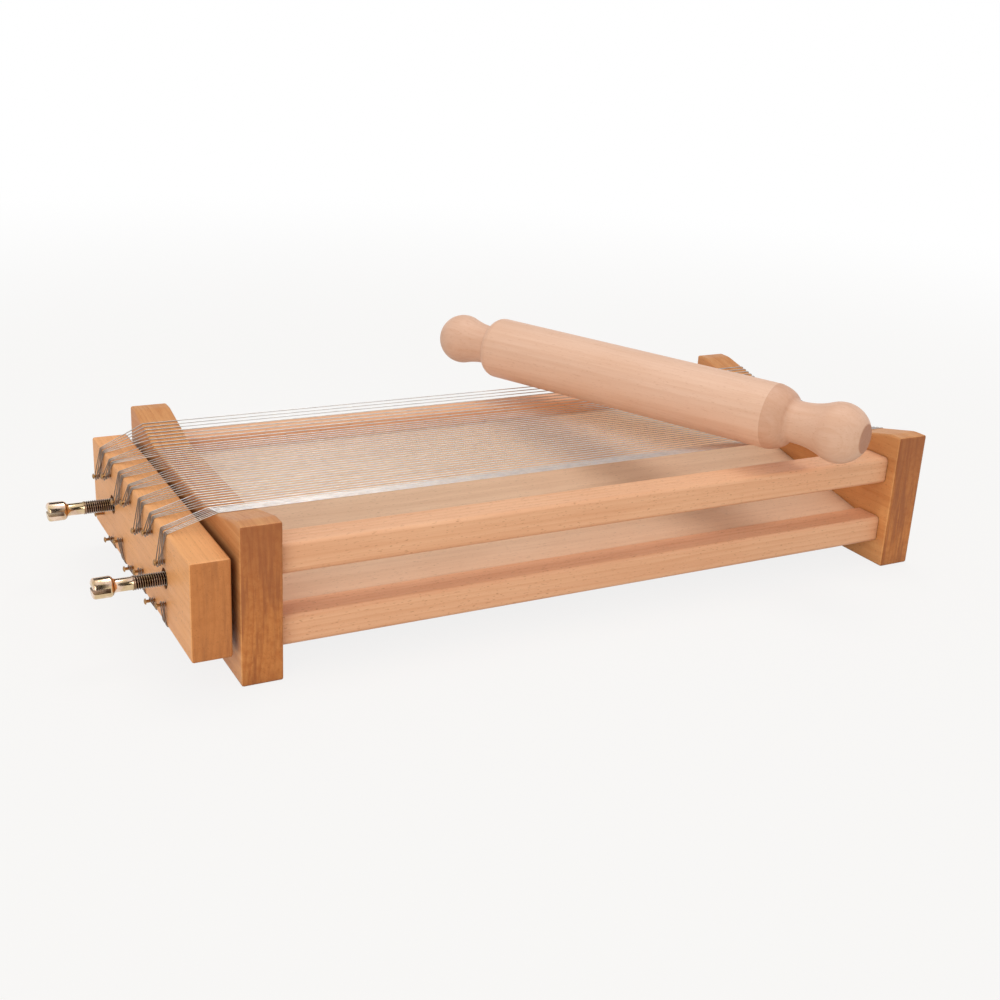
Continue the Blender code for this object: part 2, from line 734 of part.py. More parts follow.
def pin_placement():
    """Direction of the pin's axis and the height of its middle, resting on two outer strings."""
    near = string_set("upper")[3]
    far = near + UPPER_PITCH * (UPPER_RUNS - 1)
    rise = (top_height(far) - top_height(near)) / (far - near)
    heading = math.radians(PIN_HEADING_DEG)
    direction = Vector((math.tan(heading), -1, -rise)).normalized()
    stand_off = (PIN_BARREL_RADIUS + WIRE_RADIUS + CLEARANCE) * math.hypot(1, rise)
    string_height = top_height(near) + STRING_LIFT + rise * (PIN_MIDDLE_Y - near)
    return direction, string_height + stand_off


def build_rolling_pin(finish):
    """The one-piece turned pin, lying across the upper strings."""
    near, far = pin_half_outline(PIN_NEAR_KNOB_RADIUS), pin_half_outline(PIN_FAR_KNOB_RADIUS)
    bm = bmesh.new()
    add_turned(bm, [(-along, radius) for along, radius in far[::-1]] + near, PIN_SIDES)
    direction, height = pin_placement()
    pin = piece("rolling_pin", bm, finish, (PIN_MIDDLE_X, PIN_MIDDLE_Y, height))
    pin.rotation_mode = "QUATERNION"
    pin.rotation_quaternion = Vector((1, 0, 0)).rotation_difference(direction)


def stand_location():
    """Shift from the block frame to the middle of the whole footprint."""
    direction, _ = pin_placement()
    across = math.hypot(direction.x, direction.z)
    near, far = (max(along * abs(direction.y) + radius * across for along, radius in half)
                 for half in map(pin_half_outline, (PIN_NEAR_KNOB_RADIUS, PIN_FAR_KNOB_RADIUS)))
    low_y, high_y = min(0, PIN_MIDDLE_Y - near), max(BLOCK_DEPTH, PIN_MIDDLE_Y + far)
    return (-(RIGHT_OUTER_X + NAIL_OUT - BOLT_REACH) / 2, -(low_y + high_y) / 2, 0)


def main():
    """Build every piece from the frame outwards."""
    clear_scene()
    stand = bpy.data.objects.new("stand", None)
    bpy.context.scene.collection.objects.link(stand)
    stand.location = stand_location()
    block_wood = material("block_wood", (0.51, 0.20, 0.06), 0.5, 0)
    rail_wood = material("rail_wood", (0.74, 0.42, 0.21), 0.5, 0)
    ramp_wood = material("ramp_wood", (0.53, 0.32, 0.20), 0.55, 0)
    tension_wood = material("tension_wood", (0.58, 0.28, 0.12), 0.5, 0)
    pin_wood = material("pin_wood", (0.75, 0.49, 0.32), 0.45, 0)
    dowel_wood = material("dowel_wood", (0.70, 0.48, 0.27), 0.6, 0)
    bolt_metal = material("bolt_metal", (0.53, 0.37, 0.17), 0.3, 1)
    nail_metal = material("nail_metal", (0.45, 0.31, 0.15), 0.35, 1)
    plate_steel = material("plate_steel", (0.55, 0.55, 0.53), 0.3, 1)
    string_steel = material("string_steel", (0.65, 0.64, 0.61), 0.25, 1)
    dowel_holes = build_dowels(dowel_wood)
    nail_holes = build_nails(nail_metal)
    grooves = build_ramp(ramp_wood)
    build_end_blocks(block_wood, dowel_holes, nail_holes)
    build_rails(rail_wood, dowel_holes, grooves)
    build_tension_block(tension_wood, nail_holes)
    build_tee_nuts(plate_steel)
    build_thrust_plates(plate_steel)
    build_bolts(bolt_metal)
    build_strings("upper", string_steel)
    build_strings("lower", string_steel)
    build_rolling_pin(pin_wood)


main()
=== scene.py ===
"""Looks of a double-sided pasta chitarra and its rolling pin.

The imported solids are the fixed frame. The wooden ones keep their shape and get a beech finish.
The wires, nails, bolts and the turned pin are finer surfaces worked out here at the same places.

Sizes are in metres. Shapes are worked out in the block frame, whose origin is the left end block's
lowest outer front corner, and then moved to the row frame.
"""
from __future__ import annotations

import logging
import math
from collections.abc import Iterable, Iterator
from dataclasses import dataclass
from enum import Enum
from typing import Any

import bpy
import numpy as np
from mathutils import Matrix, Vector


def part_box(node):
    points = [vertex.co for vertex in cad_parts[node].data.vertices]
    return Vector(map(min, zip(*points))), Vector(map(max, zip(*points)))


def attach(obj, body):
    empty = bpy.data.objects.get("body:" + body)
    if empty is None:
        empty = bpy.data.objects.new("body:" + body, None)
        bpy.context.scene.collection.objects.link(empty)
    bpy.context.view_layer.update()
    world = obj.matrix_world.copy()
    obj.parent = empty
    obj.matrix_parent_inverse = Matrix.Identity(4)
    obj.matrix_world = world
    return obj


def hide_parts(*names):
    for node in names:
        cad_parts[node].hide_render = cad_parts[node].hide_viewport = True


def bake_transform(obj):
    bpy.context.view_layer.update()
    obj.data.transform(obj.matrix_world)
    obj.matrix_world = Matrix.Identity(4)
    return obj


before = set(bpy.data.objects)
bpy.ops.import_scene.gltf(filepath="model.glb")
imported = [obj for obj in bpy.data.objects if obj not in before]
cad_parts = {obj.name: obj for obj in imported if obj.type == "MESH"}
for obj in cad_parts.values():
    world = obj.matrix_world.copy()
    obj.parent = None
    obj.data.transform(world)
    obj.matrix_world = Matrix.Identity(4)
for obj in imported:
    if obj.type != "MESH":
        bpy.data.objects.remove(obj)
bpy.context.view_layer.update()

log = logging.getLogger("chitarra")

Colour = tuple[float, float, float]
Linear = tuple[float, float, float, float]
Socket = bpy.types.NodeSocket

BLOCK_ORIGIN = np.array(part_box("end_block_left")[0])
SHADE = "shade"
WHITE = (1, 1, 1, 1)
WIRE_GAP = 0.00005
SHARP_DEG = 40


def linear(colour: Colour) -> Linear:
    """Turn a display colour of 0 to 255 into a linear one with full alpha.

    Args:
        colour: Red, green and blue as a screen shows them.

    Returns:
        The linear colour and an alpha of one.
    """
    parts = [((c / 255 + 0.055) / 1.055) ** 2.4 for c in colour]
    return (*parts, 1.0)


def put_in_scene(name: str, data: bpy.types.ID) -> bpy.types.Object:
    """Make an object at the origin and add it to the scene.

    Args:
        name: The object's name.
        data: Its mesh, light or camera.

    Returns:
        The object.
    """
    made = bpy.data.objects.new(name, data)
    bpy.context.scene.collection.objects.link(made)
    return made


# Surfaces worked out as whole arrays


@dataclass
class Surface:
    """Points and faces of a closed surface.

    shade is an optional share at each point. A metal reads it as painted shade in a bolt's thread
    and slot and as a painted dark reflection on a wire's outer legs, a wood as bare end grain,
    which on the pin is partly painted shade.
    """

    points: np.ndarray
    faces: list[list[int]]
    shade: np.ndarray | None = None

    @staticmethod
    def wrap(rings: int, sides: int, first: int) -> list[list[int]]:
        """Quads between neighbouring rings of points, wound so that they face outwards.

        Args:
            rings: Number of rings.
            sides: Points in a ring.
            first: Index of the first ring's first point.

        Returns:
            Face (i, j) joins points j and j + 1 of rings i and i + 1.
        """
        row, column = np.meshgrid(np.arange(rings - 1), np.arange(sides), indexing="ij")
        after = (column + 1) % sides
        corners = [row * sides + column, row * sides + after, (row + 1) * sides + after,
                   (row + 1) * sides + column]
        return (np.stack(corners, axis=-1).reshape(-1, 4) + first).tolist()

    @classmethod
    def turned(cls, along: np.ndarray, radius: np.ndarray, sides: int) -> Surface:
        """Surface turned about the X axis, closed by a point at each end.

        A point at angle t is (along, radius cos t, radius sin t), where the radius is a function
        of the place along the axis and may vary with the angle as well.

        Args:
            along: Rising places on the axis, the two end points first and last.
            radius: Radius at each place between the ends, or a row of them, one for each angle.
            sides: Number of angles.

        Returns:
            The closed surface.
        """
        angle = np.linspace(0, math.tau, sides, endpoint=False)
        rows = radius if radius.ndim == 2 else radius[:, None]
        wide = np.broadcast_to(rows, (len(radius), sides))
        inner = np.broadcast_to(along[1:-1, None], wide.shape)
        grid = np.stack([inner, wide * np.cos(angle), wide * np.sin(angle)], axis=-1).reshape(-1, 3)
        points = np.vstack([[along[0], 0, 0], grid, [along[-1], 0, 0]])
        side, last = np.arange(sides), len(points) - 1
        after = (side + 1) % sides
        low = np.stack([np.zeros(sides, int), 1 + after, 1 + side], axis=-1)
        ring = last - sides
        high = np.stack([np.full(sides, last), ring + side, ring + after], axis=-1)
        faces = low.tolist() + cls.wrap(len(wide), sides, 1) + high.tolist()
        return cls(points, faces)

    @classmethod
    def tube(cls, path: np.ndarray, radius: float, sides: int) -> Surface:
        """Round tube along a path, with flat ends.

        At each point the side vector is the tangent with its three parts passed round by one
        place and squared to the tangent, and a point at angle t is the path's point plus the
        radius times (side cos t + up sin t).

        Args:
            path: Points of the centre line.
            radius: Radius of the tube.
            sides: Points in a ring.

        Returns:
            The closed surface.
        """
        steps = np.diff(path, axis=0)
        steps /= np.linalg.norm(steps, axis=1, keepdims=True)
        tangent = np.vstack([steps[:1], steps[:-1] + steps[1:], steps[-1:]])
        tangent /= np.linalg.norm(tangent, axis=1, keepdims=True)
        side = np.roll(tangent, 1, axis=1)
        side -= tangent * np.sum(side * tangent, axis=1, keepdims=True)
        side /= np.linalg.norm(side, axis=1, keepdims=True)
        up = np.cross(tangent, side)
        angle = np.linspace(0, math.tau, sides, endpoint=False)[None, :, None]
        ring = side[:, None] * np.cos(angle) + up[:, None] * np.sin(angle)
        points = (path[:, None] + radius * ring).reshape(-1, 3)
        ends = [list(range(sides))[::-1], list(range(len(points) - sides, len(points)))]
        return cls(points, cls.wrap(len(path), sides, 0) + ends)

    def placed(self, place: Iterable[float], turn: np.ndarray | None = None) -> Surface:
        """The same surface turned and then moved.

        Args:
            place: Where the origin goes.
            turn: A 3 by 3 turning matrix, or None.

        Returns:
            The new surface.
        """
        points = self.points if turn is None else self.points @ turn.T
        return Surface(points + np.array(place), self.faces, self.shade)

    def mesh(self, name: str, sharp_deg: float = SHARP_DEG) -> bpy.types.Mesh:
        """The surface as a smooth mesh with its shade as a point attribute.

        Args:
            name: The mesh's name.
            sharp_deg: Angle between two faces, in degrees, past which their edge is sharp.

        Returns:
            The mesh.
        """
        mesh = bpy.data.meshes.new(name)
        mesh.from_pydata(self.points.tolist(), [], self.faces)
        if self.shade is not None:
            layer = mesh.attributes.new(SHADE, "FLOAT", "POINT")
            layer.data.foreach_set("value", self.shade.astype(np.float32))
        mesh.shade_smooth()
        mesh.set_sharp_from_angle(angle=math.radians(sharp_deg))
        return mesh


def arc(centre: tuple[float, float], reach: tuple[float, float], start: float, end: float,
        count: int) -> np.ndarray:
    """Points on an ellipse: the centre plus (reach sin a, reach cos a) for evenly spaced a.

    Args:
        centre: Middle of the ellipse as (along, radius).
        reach: Its half axes in the same order.
        start: First angle in radians, from the outward radius.
        end: Last angle.
        count: Number of points.

    Returns:
        The points as rows.
    """
    angle = np.linspace(start, end, count)
    return np.stack([centre[0] + reach[0] * np.sin(angle), centre[1] + reach[1] * np.cos(angle)],
                    axis=-1)


# Shader nodes


@dataclass(frozen=True)
class Noise:
    """A noise whose lumps are one over the stretch long on each axis.

    As a mask it rises from 0 where the noise is low to 1 where it is high.
    """

    stretch: tuple[float, float, float]
    detail: float
    low: float = 0.0
    high: float = 1.0


class Pattern(Enum):
    """Every noise that a finish uses."""

    WARP = Noise((5, 24, 24), 2)
    STREAKS = Noise((7, 260, 260), 3, 0.38, 0.68)
    FIBRES = Noise((45, 1100, 1100), 3, 0.45, 0.8)
    FLECKS = Noise((330, 1500, 1500), 1, 0.63, 0.74)
    RAYS = Noise((30, 330, 30), 4, 0.42, 0.68)
    WEAR = Noise((160, 160, 160), 3, 0.35, 0.65)
    CLOUDS = Noise((22, 22, 22), 2, 0.35, 0.7)
    MOTTLE = Noise((210, 210, 210), 4, 0.4, 0.7)
    FILM = Noise((170, 170, 170), 1, 0.42, 0.6)
    BRUSH = Noise((350, 6000, 6000), 2)


class Graph:
    """Short calls that add nodes to one node tree and join them to others."""

    def __init__(self, tree: bpy.types.NodeTree) -> None:
        """Work on this tree."""
        self.tree = tree

    def add(self, kind: str, inputs: dict[str | int, Any] | None = None,
            **settings: Any) -> bpy.types.Node:
        """Add a shader node.

        Args:
            kind: The node's type without its ShaderNode prefix.
            inputs: Sockets or plain values by input name or number.
            **settings: Properties of the node.

        Returns:
            The node.
        """
        node = self.tree.nodes.new("ShaderNode" + kind)
        for name, value in settings.items():
            setattr(node, name, value)
        for key, value in (inputs or {}).items():
            if isinstance(value, Socket):
                self.tree.links.new(value, node.inputs[key])
            else:
                node.inputs[key].default_value = value
        return node

    def math(self, operation: str, *values: Socket | float) -> Socket:
        """Result of a Math node."""
        return self.add("Math", dict(enumerate(values)), operation=operation).outputs[0]

    def vector(self, operation: str, *values: Any) -> Socket:
        """Result of a Vector Math node: a number for LENGTH and DOT_PRODUCT, else a vector."""
        node = self.add("VectorMath", dict(enumerate(values)), operation=operation)
        return node.outputs["Value" if operation in ("LENGTH", "DOT_PRODUCT") else "Vector"]

    def blend(self, share: Socket | float, first: Any, second: Any, mode: str = "MIX") -> Socket:
        """Result of a Mix node on colours.

        Args:
            share: How far the colour goes from the first to the second.
            first: Colour at a share of 0.
            second: Colour at a share of 1, or what the mode joins to the first.
            mode: The node's blend type.

        Returns:
            The mixed colour.
        """
        inputs = {"Factor": share, "A": first, "B": second}
        node = self.add("Mix", data_type="RGBA", blend_type=mode)
        sockets = {s.name: s for s in node.inputs if s.enabled}
        for name, value in inputs.items():
            if isinstance(value, Socket):
                self.tree.links.new(value, sockets[name])
            else:
                sockets[name].default_value = value
        return next(s for s in node.outputs if s.enabled)

    def step(self, value: Socket, low: float, high: float) -> Socket:
        """Smooth step of a value from 0 at low to 1 at high."""
        inputs = {"Value": value, "From Min": low, "From Max": high}
        return self.add("MapRange", inputs, interpolation_type="SMOOTHSTEP").outputs[0]

    def tint(self, colour: Socket | Linear, mask: Socket, share: float,
             tone: Socket | Linear) -> Socket:
        """Colour that goes to the tone by a share of the mask."""
        return self.blend(self.math("MULTIPLY", mask, share), colour, tone)

    def noise(self, place: Socket, pattern: Pattern) -> Socket:
        """The plain noise of a pattern.

        Args:
            place: Where the noise is read, before the pattern's stretch.
            pattern: The pattern.

        Returns:
            The noise, between 0 and 1.
        """
        scaled = self.vector("MULTIPLY", place, pattern.value.stretch)
        inputs = {"Vector": scaled, "Scale": 1.0, "Detail": pattern.value.detail}
        return self.add("TexNoise", inputs).outputs[0]

    def as_mask(self, noise: Socket, pattern: Pattern) -> Socket:
        """A pattern's noise as a mask between the pattern's low and high."""
        return self.step(noise, pattern.value.low, pattern.value.high)

    def mask(self, place: Socket, pattern: Pattern) -> Socket:
        """Mask of a pattern at a place."""
        return self.as_mask(self.noise(place, pattern), pattern)

    def lead(self, values: dict[str | int, Socket], node: bpy.types.Node) -> None:
        """Join sockets to a node's inputs, given by name or number."""
        for key, value in values.items():
            self.tree.links.new(value, node.inputs[key])


class Effect(Enum):
    """Shared effects, each a shader node group."""

    GRAIN = "wood_grain"
    EDGES = "eased_edges"
    HANDLING = "handling_marks"
    # Painted shade where a surface is closed in.
    CREVICES = "dark_crevices"


@dataclass
class Effects:
    """Builds each shared node group once and places it in materials.

    ring_fall is the way through a ring at which its tone starts to fall, faintest_ring the least
    strength of a ring, edge_turn the turns from the plain normal at which an arris starts and is
    full, even_wear the part of an arris's wear that is the same all along it, and closed_in the
    covered shares at which the painted shade of a closed-in place starts and is full.
    """

    ring_fall: float = 0.86
    faintest_ring: float = 0.25
    ring_height: float = 0.4
    fleck_depth: float = 0.5
    edge_turn: tuple[float, float] = (0.01, 0.18)
    even_wear: float = 0.4
    closed_in: tuple[float, float] = (0.15, 0.95)
    bevel_samples: int = 6
    cover_samples: int = 4

    def __post_init__(self) -> None:
        """Build all the groups."""
        self.groups = {
            Effect.GRAIN: self.grain(),
            Effect.EDGES: self.edges(),
            Effect.HANDLING: self.handling(),
            Effect.CREVICES: self.crevices(),
        }

    @staticmethod
    def start(effect: Effect, inputs: dict[str, tuple[str, Any]],
              outputs: dict[str, str]) -> tuple[Graph, bpy.types.Node, bpy.types.Node]:
        """Make an empty group with named sockets.

        Args:
            effect: The effect that the group makes.
            inputs: Socket kind and default value by name.
            outputs: Socket kind by name.

        Returns:
            The graph, its input node and its output node.
        """
        tree = bpy.data.node_groups.new(effect.value, "ShaderNodeTree")
        for name, (kind, value) in inputs.items():
            socket = tree.interface.new_socket(name, in_out="INPUT",
                                               socket_type="NodeSocket" + kind)
            socket.default_value = value
        for name, kind in outputs.items():
            tree.interface.new_socket(name, in_out="OUTPUT", socket_type="NodeSocket" + kind)
        return Graph(tree), tree.nodes.new("NodeGroupInput"), tree.nodes.new("NodeGroupOutput")

    def grain(self) -> bpy.types.NodeTree:
        """Solid wood whose pith is the X axis: rings about it, fibres and short ray flecks.

        A ring's tone rises with the square of the way through it and falls at its end. The rings
        are the distance from the pith, moved by a long noise, over the ring's width. Rays are the
        upright streaks that show on end grain.

        Returns:
            The group, with every kind of mark and a height for bumps.
        """
        graph, given, out = self.start(
            Effect.GRAIN,
            {"Place": ("Vector", (0, 0, 0)), "Ring Width": ("Float", 0.0025),
             "Waviness": ("Float", 0.004)},
            {"Rings": "Float", "Streaks": "Float", "Fibres": "Float", "Flecks": "Float",
             "Rays": "Float", "Height": "Float"},
        )
        place = given.outputs["Place"]
        warp = graph.math("SUBTRACT", graph.noise(place, Pattern.WARP), 0.5)
        across = graph.vector("LENGTH", graph.vector("MULTIPLY", place, (0, 1, 1)))
        moved = graph.math("MULTIPLY_ADD", warp, given.outputs["Waviness"], across)
        turns = graph.math("DIVIDE", moved, given.outputs["Ring Width"])
        way = graph.math("FRACT", turns)
        tone = graph.add("TexWhiteNoise", {"W": graph.math("FLOOR", turns)}, noise_dimensions="1D")
        late = graph.math("MULTIPLY", graph.math("POWER", way, 2.0),
                          graph.math("SUBTRACT", 1.0, graph.step(way, self.ring_fall, 1.0)))
        strength = graph.math("MULTIPLY_ADD", tone.outputs["Value"], 1 - self.faintest_ring,
                              self.faintest_ring)
        rings = graph.math("MULTIPLY", late, strength)
        fibres = graph.noise(place, Pattern.FIBRES)
        flecks = graph.mask(place, Pattern.FLECKS)
        height = graph.math("SUBTRACT", graph.math("MULTIPLY_ADD", rings, self.ring_height, fibres),
                            graph.math("MULTIPLY", flecks, self.fleck_depth))
        graph.lead({"Rings": rings, "Streaks": graph.mask(place, Pattern.STREAKS),
                    "Fibres": fibres, "Flecks": flecks, "Rays": graph.mask(place, Pattern.RAYS),
                    "Height": height}, out)
        return graph.tree

    def edges(self) -> bpy.types.NodeTree:
        """Softened normals and a mask of the arrises, where they leave the plain normal.

        The mask is a step of one minus the product of the two normals, unevenly worn.

        Returns:
            The group.
        """
        graph, given, out = self.start(
            Effect.EDGES,
            {"Radius": ("Float", 0.001), "Place": ("Vector", (0, 0, 0))},
            {"Edge": "Float", "Normal": "Vector"},
        )
        soft = graph.add("Bevel", {"Radius": given.outputs["Radius"]},
                         samples=self.bevel_samples).outputs[0]
        plain = graph.add("NewGeometry").outputs["Normal"]
        turn = graph.math("SUBTRACT", 1.0, graph.vector("DOT_PRODUCT", soft, plain))
        wear = graph.mask(given.outputs["Place"], Pattern.WEAR)
        edge = graph.math("MULTIPLY", graph.step(turn, *self.edge_turn),
                          graph.math("MULTIPLY_ADD", wear, 1 - self.even_wear, self.even_wear))
        graph.lead({"Edge": edge, "Normal": soft}, out)
        return graph.tree

    def handling(self) -> bpy.types.NodeTree:
        """Soft clouds where hands have touched a piece, and a finer mottle.

        Returns:
            The group, with the clouds as a mask and the mottle as plain noise.
        """
        graph, given, out = self.start(
            Effect.HANDLING,
            {"Place": ("Vector", (0, 0, 0))},
            {"Clouds": "Float", "Mottle": "Float"},
        )
        place = given.outputs["Place"]
        graph.lead({"Clouds": graph.mask(place, Pattern.CLOUDS),
                    "Mottle": graph.noise(place, Pattern.MOTTLE)}, out)
        return graph.tree

    def crevices(self) -> bpy.types.NodeTree:
        """Painted shade: a mask that grows where a surface is closed in within a distance.

        Returns:
            The group.
        """
        graph, given, out = self.start(Effect.CREVICES, {"Distance": ("Float", 0.01)},
                                       {"Depth": "Float"})
        open_share = graph.add("AmbientOcclusion", {"Distance": given.outputs["Distance"]},
                               samples=self.cover_samples).outputs["AO"]
        covered = graph.math("SUBTRACT", 1.0, open_share)
        graph.lead({"Depth": graph.step(covered, *self.closed_in)}, out)
        return graph.tree

    def put(self, graph: Graph, effect: Effect, **inputs: Any) -> dict[str, Socket]:
        """Place a group in a material.

        Args:
            graph: The material's graph.
            effect: The effect to place.
            **inputs: Values or sockets, named as the group's inputs without spaces.

        Returns:
            The group's outputs by name.
        """
        node = graph.add("Group", node_tree=self.groups[effect])
        by_name = {socket.name.replace(" ", ""): socket for socket in node.inputs}
        for name, value in inputs.items():
            if isinstance(value, Socket):
                graph.tree.links.new(value, by_name[name])
            else:
                by_name[name].default_value = value
        return {socket.name: socket for socket in node.outputs}


def new_material(name: str) -> tuple[bpy.types.Material, Graph, bpy.types.Node]:
    """Start a material.

    Args:
        name: The material's name.

    Returns:
        The material, its graph and its Principled shader.
    """
    material = bpy.data.materials.new(name)
    material.use_nodes = True
    return material, Graph(material.node_tree), material.node_tree.nodes["Principled BSDF"]


# Finishes


@dataclass(frozen=True)
class Wood:
    """A beech finish; the grain lies along X once the piece is turned by grain_turn_deg.

    pith is what is added to a turned place to bring the tree's middle to the X axis. The shares
    say how far each tone replaces the colour. The top tone is painted shade, which grows between
    two heights above the floor, and off the end grain it has only top_side_share. The tone of
    closed-in places is painted shade too.
    """

    slot: str
    pale: Colour
    deep: Colour
    fleck: Colour
    end: Colour
    grain_turn_deg: float
    pith: tuple[float, float, float]
    ring_width: float = 0.0026
    waviness: float = 0.005
    ring_share: float = 0.5
    streak_share: float = 0.25
    fibre_share: float = 0.22
    fleck_share: float = 0.35
    end_share: float = 0.6
    end_from: float = 0.45
    end_full: float = 0.9
    ray_share: float = 0.5
    cloud_share: float = 0.12
    edge_share: float = 0.25
    edge_radius: float = 0.0009
    # Painted shade: the top tone darkens a piece towards its top.
    top: Colour = (154, 90, 52)
    top_shade_share: float = 0.0
    top_side_share: float = 0.6
    top_from: float = 0.02
    top_full: float = 0.095
    top_unevenness: float = 0.035
    # Painted shade: tone, share and reach of the darkening where a surface is closed in.
    crevice_shade_tone: Colour = (104, 56, 28)
    crevice_shade_share: float = 0.6
    crevice_shade_reach: float = 0.012
    roughness: float = 0.5
    fibre_roughness: float = 0.2
    cloud_gloss: float = 0.05
    specular: float = 0.35
    bump_strength: float = 0.35
    bump_distance: float = 0.0002

    def in_tree(self, graph: Graph, coordinates: bpy.types.Node) -> tuple[Socket, Socket]:
        """Place in the tree and share of end grain.

        Args:
            graph: The material's graph.
            coordinates: Its Texture Coordinate node.

        Returns:
            The turned place, and a mask that is 1 where a face looks along the grain or where
            the piece's own attribute says so; on the pin that attribute is partly painted shade.
        """
        turn = (0.0, 0.0, math.radians(self.grain_turn_deg))
        place = graph.add("Mapping", {"Vector": coordinates.outputs["Object"], "Rotation": turn,
                                      "Location": self.pith}).outputs[0]
        facing = graph.add("Mapping", {"Vector": coordinates.outputs["Normal"], "Rotation": turn},
                           vector_type="NORMAL").outputs[0]
        along = graph.math("ABSOLUTE", graph.vector("DOT_PRODUCT", facing, (1, 0, 0)))
        # On the pin this attribute is partly painted shade.
        bare = graph.add("Attribute", attribute_name=SHADE).outputs["Fac"]
        end = graph.math("MAXIMUM", graph.step(along, self.end_from, self.end_full), bare)
        return place, end

    def clean_colour(self, graph: Graph, grain: dict[str, Socket], end: Socket) -> Socket:
        """Colour of the wood before it is touched or worn.

        Args:
            graph: The material's graph.
            grain: Outputs of the grain group.
            end: Share of end grain.

        Returns:
            The pale tone with rings, streaks, fibres and flecks, stained and rayed on end grain.
        """
        deep, fleck = linear(self.deep), linear(self.fleck)
        colour = graph.tint(linear(self.pale), grain["Rings"], self.ring_share, deep)
        colour = graph.tint(colour, grain["Streaks"], self.streak_share, deep)
        fibres = graph.as_mask(grain["Fibres"], Pattern.FIBRES)
        colour = graph.tint(colour, fibres, self.fibre_share, deep)
        colour = graph.tint(colour, grain["Flecks"], self.fleck_share, fleck)
        stained = graph.blend(1.0, colour, linear(self.end), "MULTIPLY")
        colour = graph.tint(colour, end, self.end_share, stained)
        rays = graph.math("MULTIPLY", grain["Rays"], end)
        return graph.tint(colour, rays, self.ray_share, fleck)

    def top_shade_mask(self, graph: Graph, position: Socket, rays: Socket, end: Socket) -> Socket:
        """A mask of painted shade that grows with the height above the floor.

        Args:
            graph: The material's graph.
            position: Object coordinates, whose origin is on the floor.
            rays: Noise that makes the height uneven.
            end: Share of end grain.

        Returns:
            The mask.
        """
        height = graph.add("SeparateXYZ", {0: position}).outputs["Z"]
        uneven = graph.math("MULTIPLY_ADD", rays, self.top_unevenness, height)
        return graph.math("MULTIPLY", graph.step(uneven, self.top_from, self.top_full),
                          graph.math("MULTIPLY_ADD", end, 1 - self.top_side_share,
                                     self.top_side_share))

    def build(self, effects: Effects) -> bpy.types.Material:
        """Make the material.

        Args:
            effects: The shared node groups.

        Returns:
            The finished material.
        """
        material, graph, shader = new_material(self.slot)
        coordinates = graph.add("TexCoord")
        position = coordinates.outputs["Object"]
        place, end = self.in_tree(graph, coordinates)
        grain = effects.put(graph, Effect.GRAIN, Place=place, RingWidth=self.ring_width,
                            Waviness=self.waviness)
        marks = effects.put(graph, Effect.HANDLING, Place=position)
        edges = effects.put(graph, Effect.EDGES, Place=position, Radius=self.edge_radius)
        # Painted shade mask of closed-in places.
        closed = effects.put(graph, Effect.CREVICES, Distance=self.crevice_shade_reach)["Depth"]
        colour = self.clean_colour(graph, grain, end)
        colour = graph.tint(colour, marks["Clouds"], self.cloud_share, linear(self.deep))
        # Painted shade: darker towards the top.
        if self.top_shade_share:
            top = self.top_shade_mask(graph, position, grain["Rays"], end)
            colour = graph.tint(colour, top, self.top_shade_share, linear(self.top))
        colour = graph.tint(colour, edges["Edge"], self.edge_share, linear(self.pale))
        # Painted shade where the surface is closed in.
        colour = graph.tint(colour, closed, self.crevice_shade_share, linear(self.crevice_shade_tone))
        rough = graph.math("MULTIPLY_ADD", grain["Fibres"], self.fibre_roughness,
                           self.roughness - self.fibre_roughness / 2)
        rough = graph.math("MULTIPLY_ADD", marks["Clouds"], -self.cloud_gloss, rough)
        bump = graph.add("Bump", {"Strength": self.bump_strength, "Distance": self.bump_distance,
                                  "Height": grain["Height"], "Normal": edges["Normal"]})
        graph.lead({"Base Color": colour, "Roughness": rough, "Normal": bump.outputs[0]}, shader)
        shader.inputs["Specular IOR Level"].default_value = self.specular
        return material


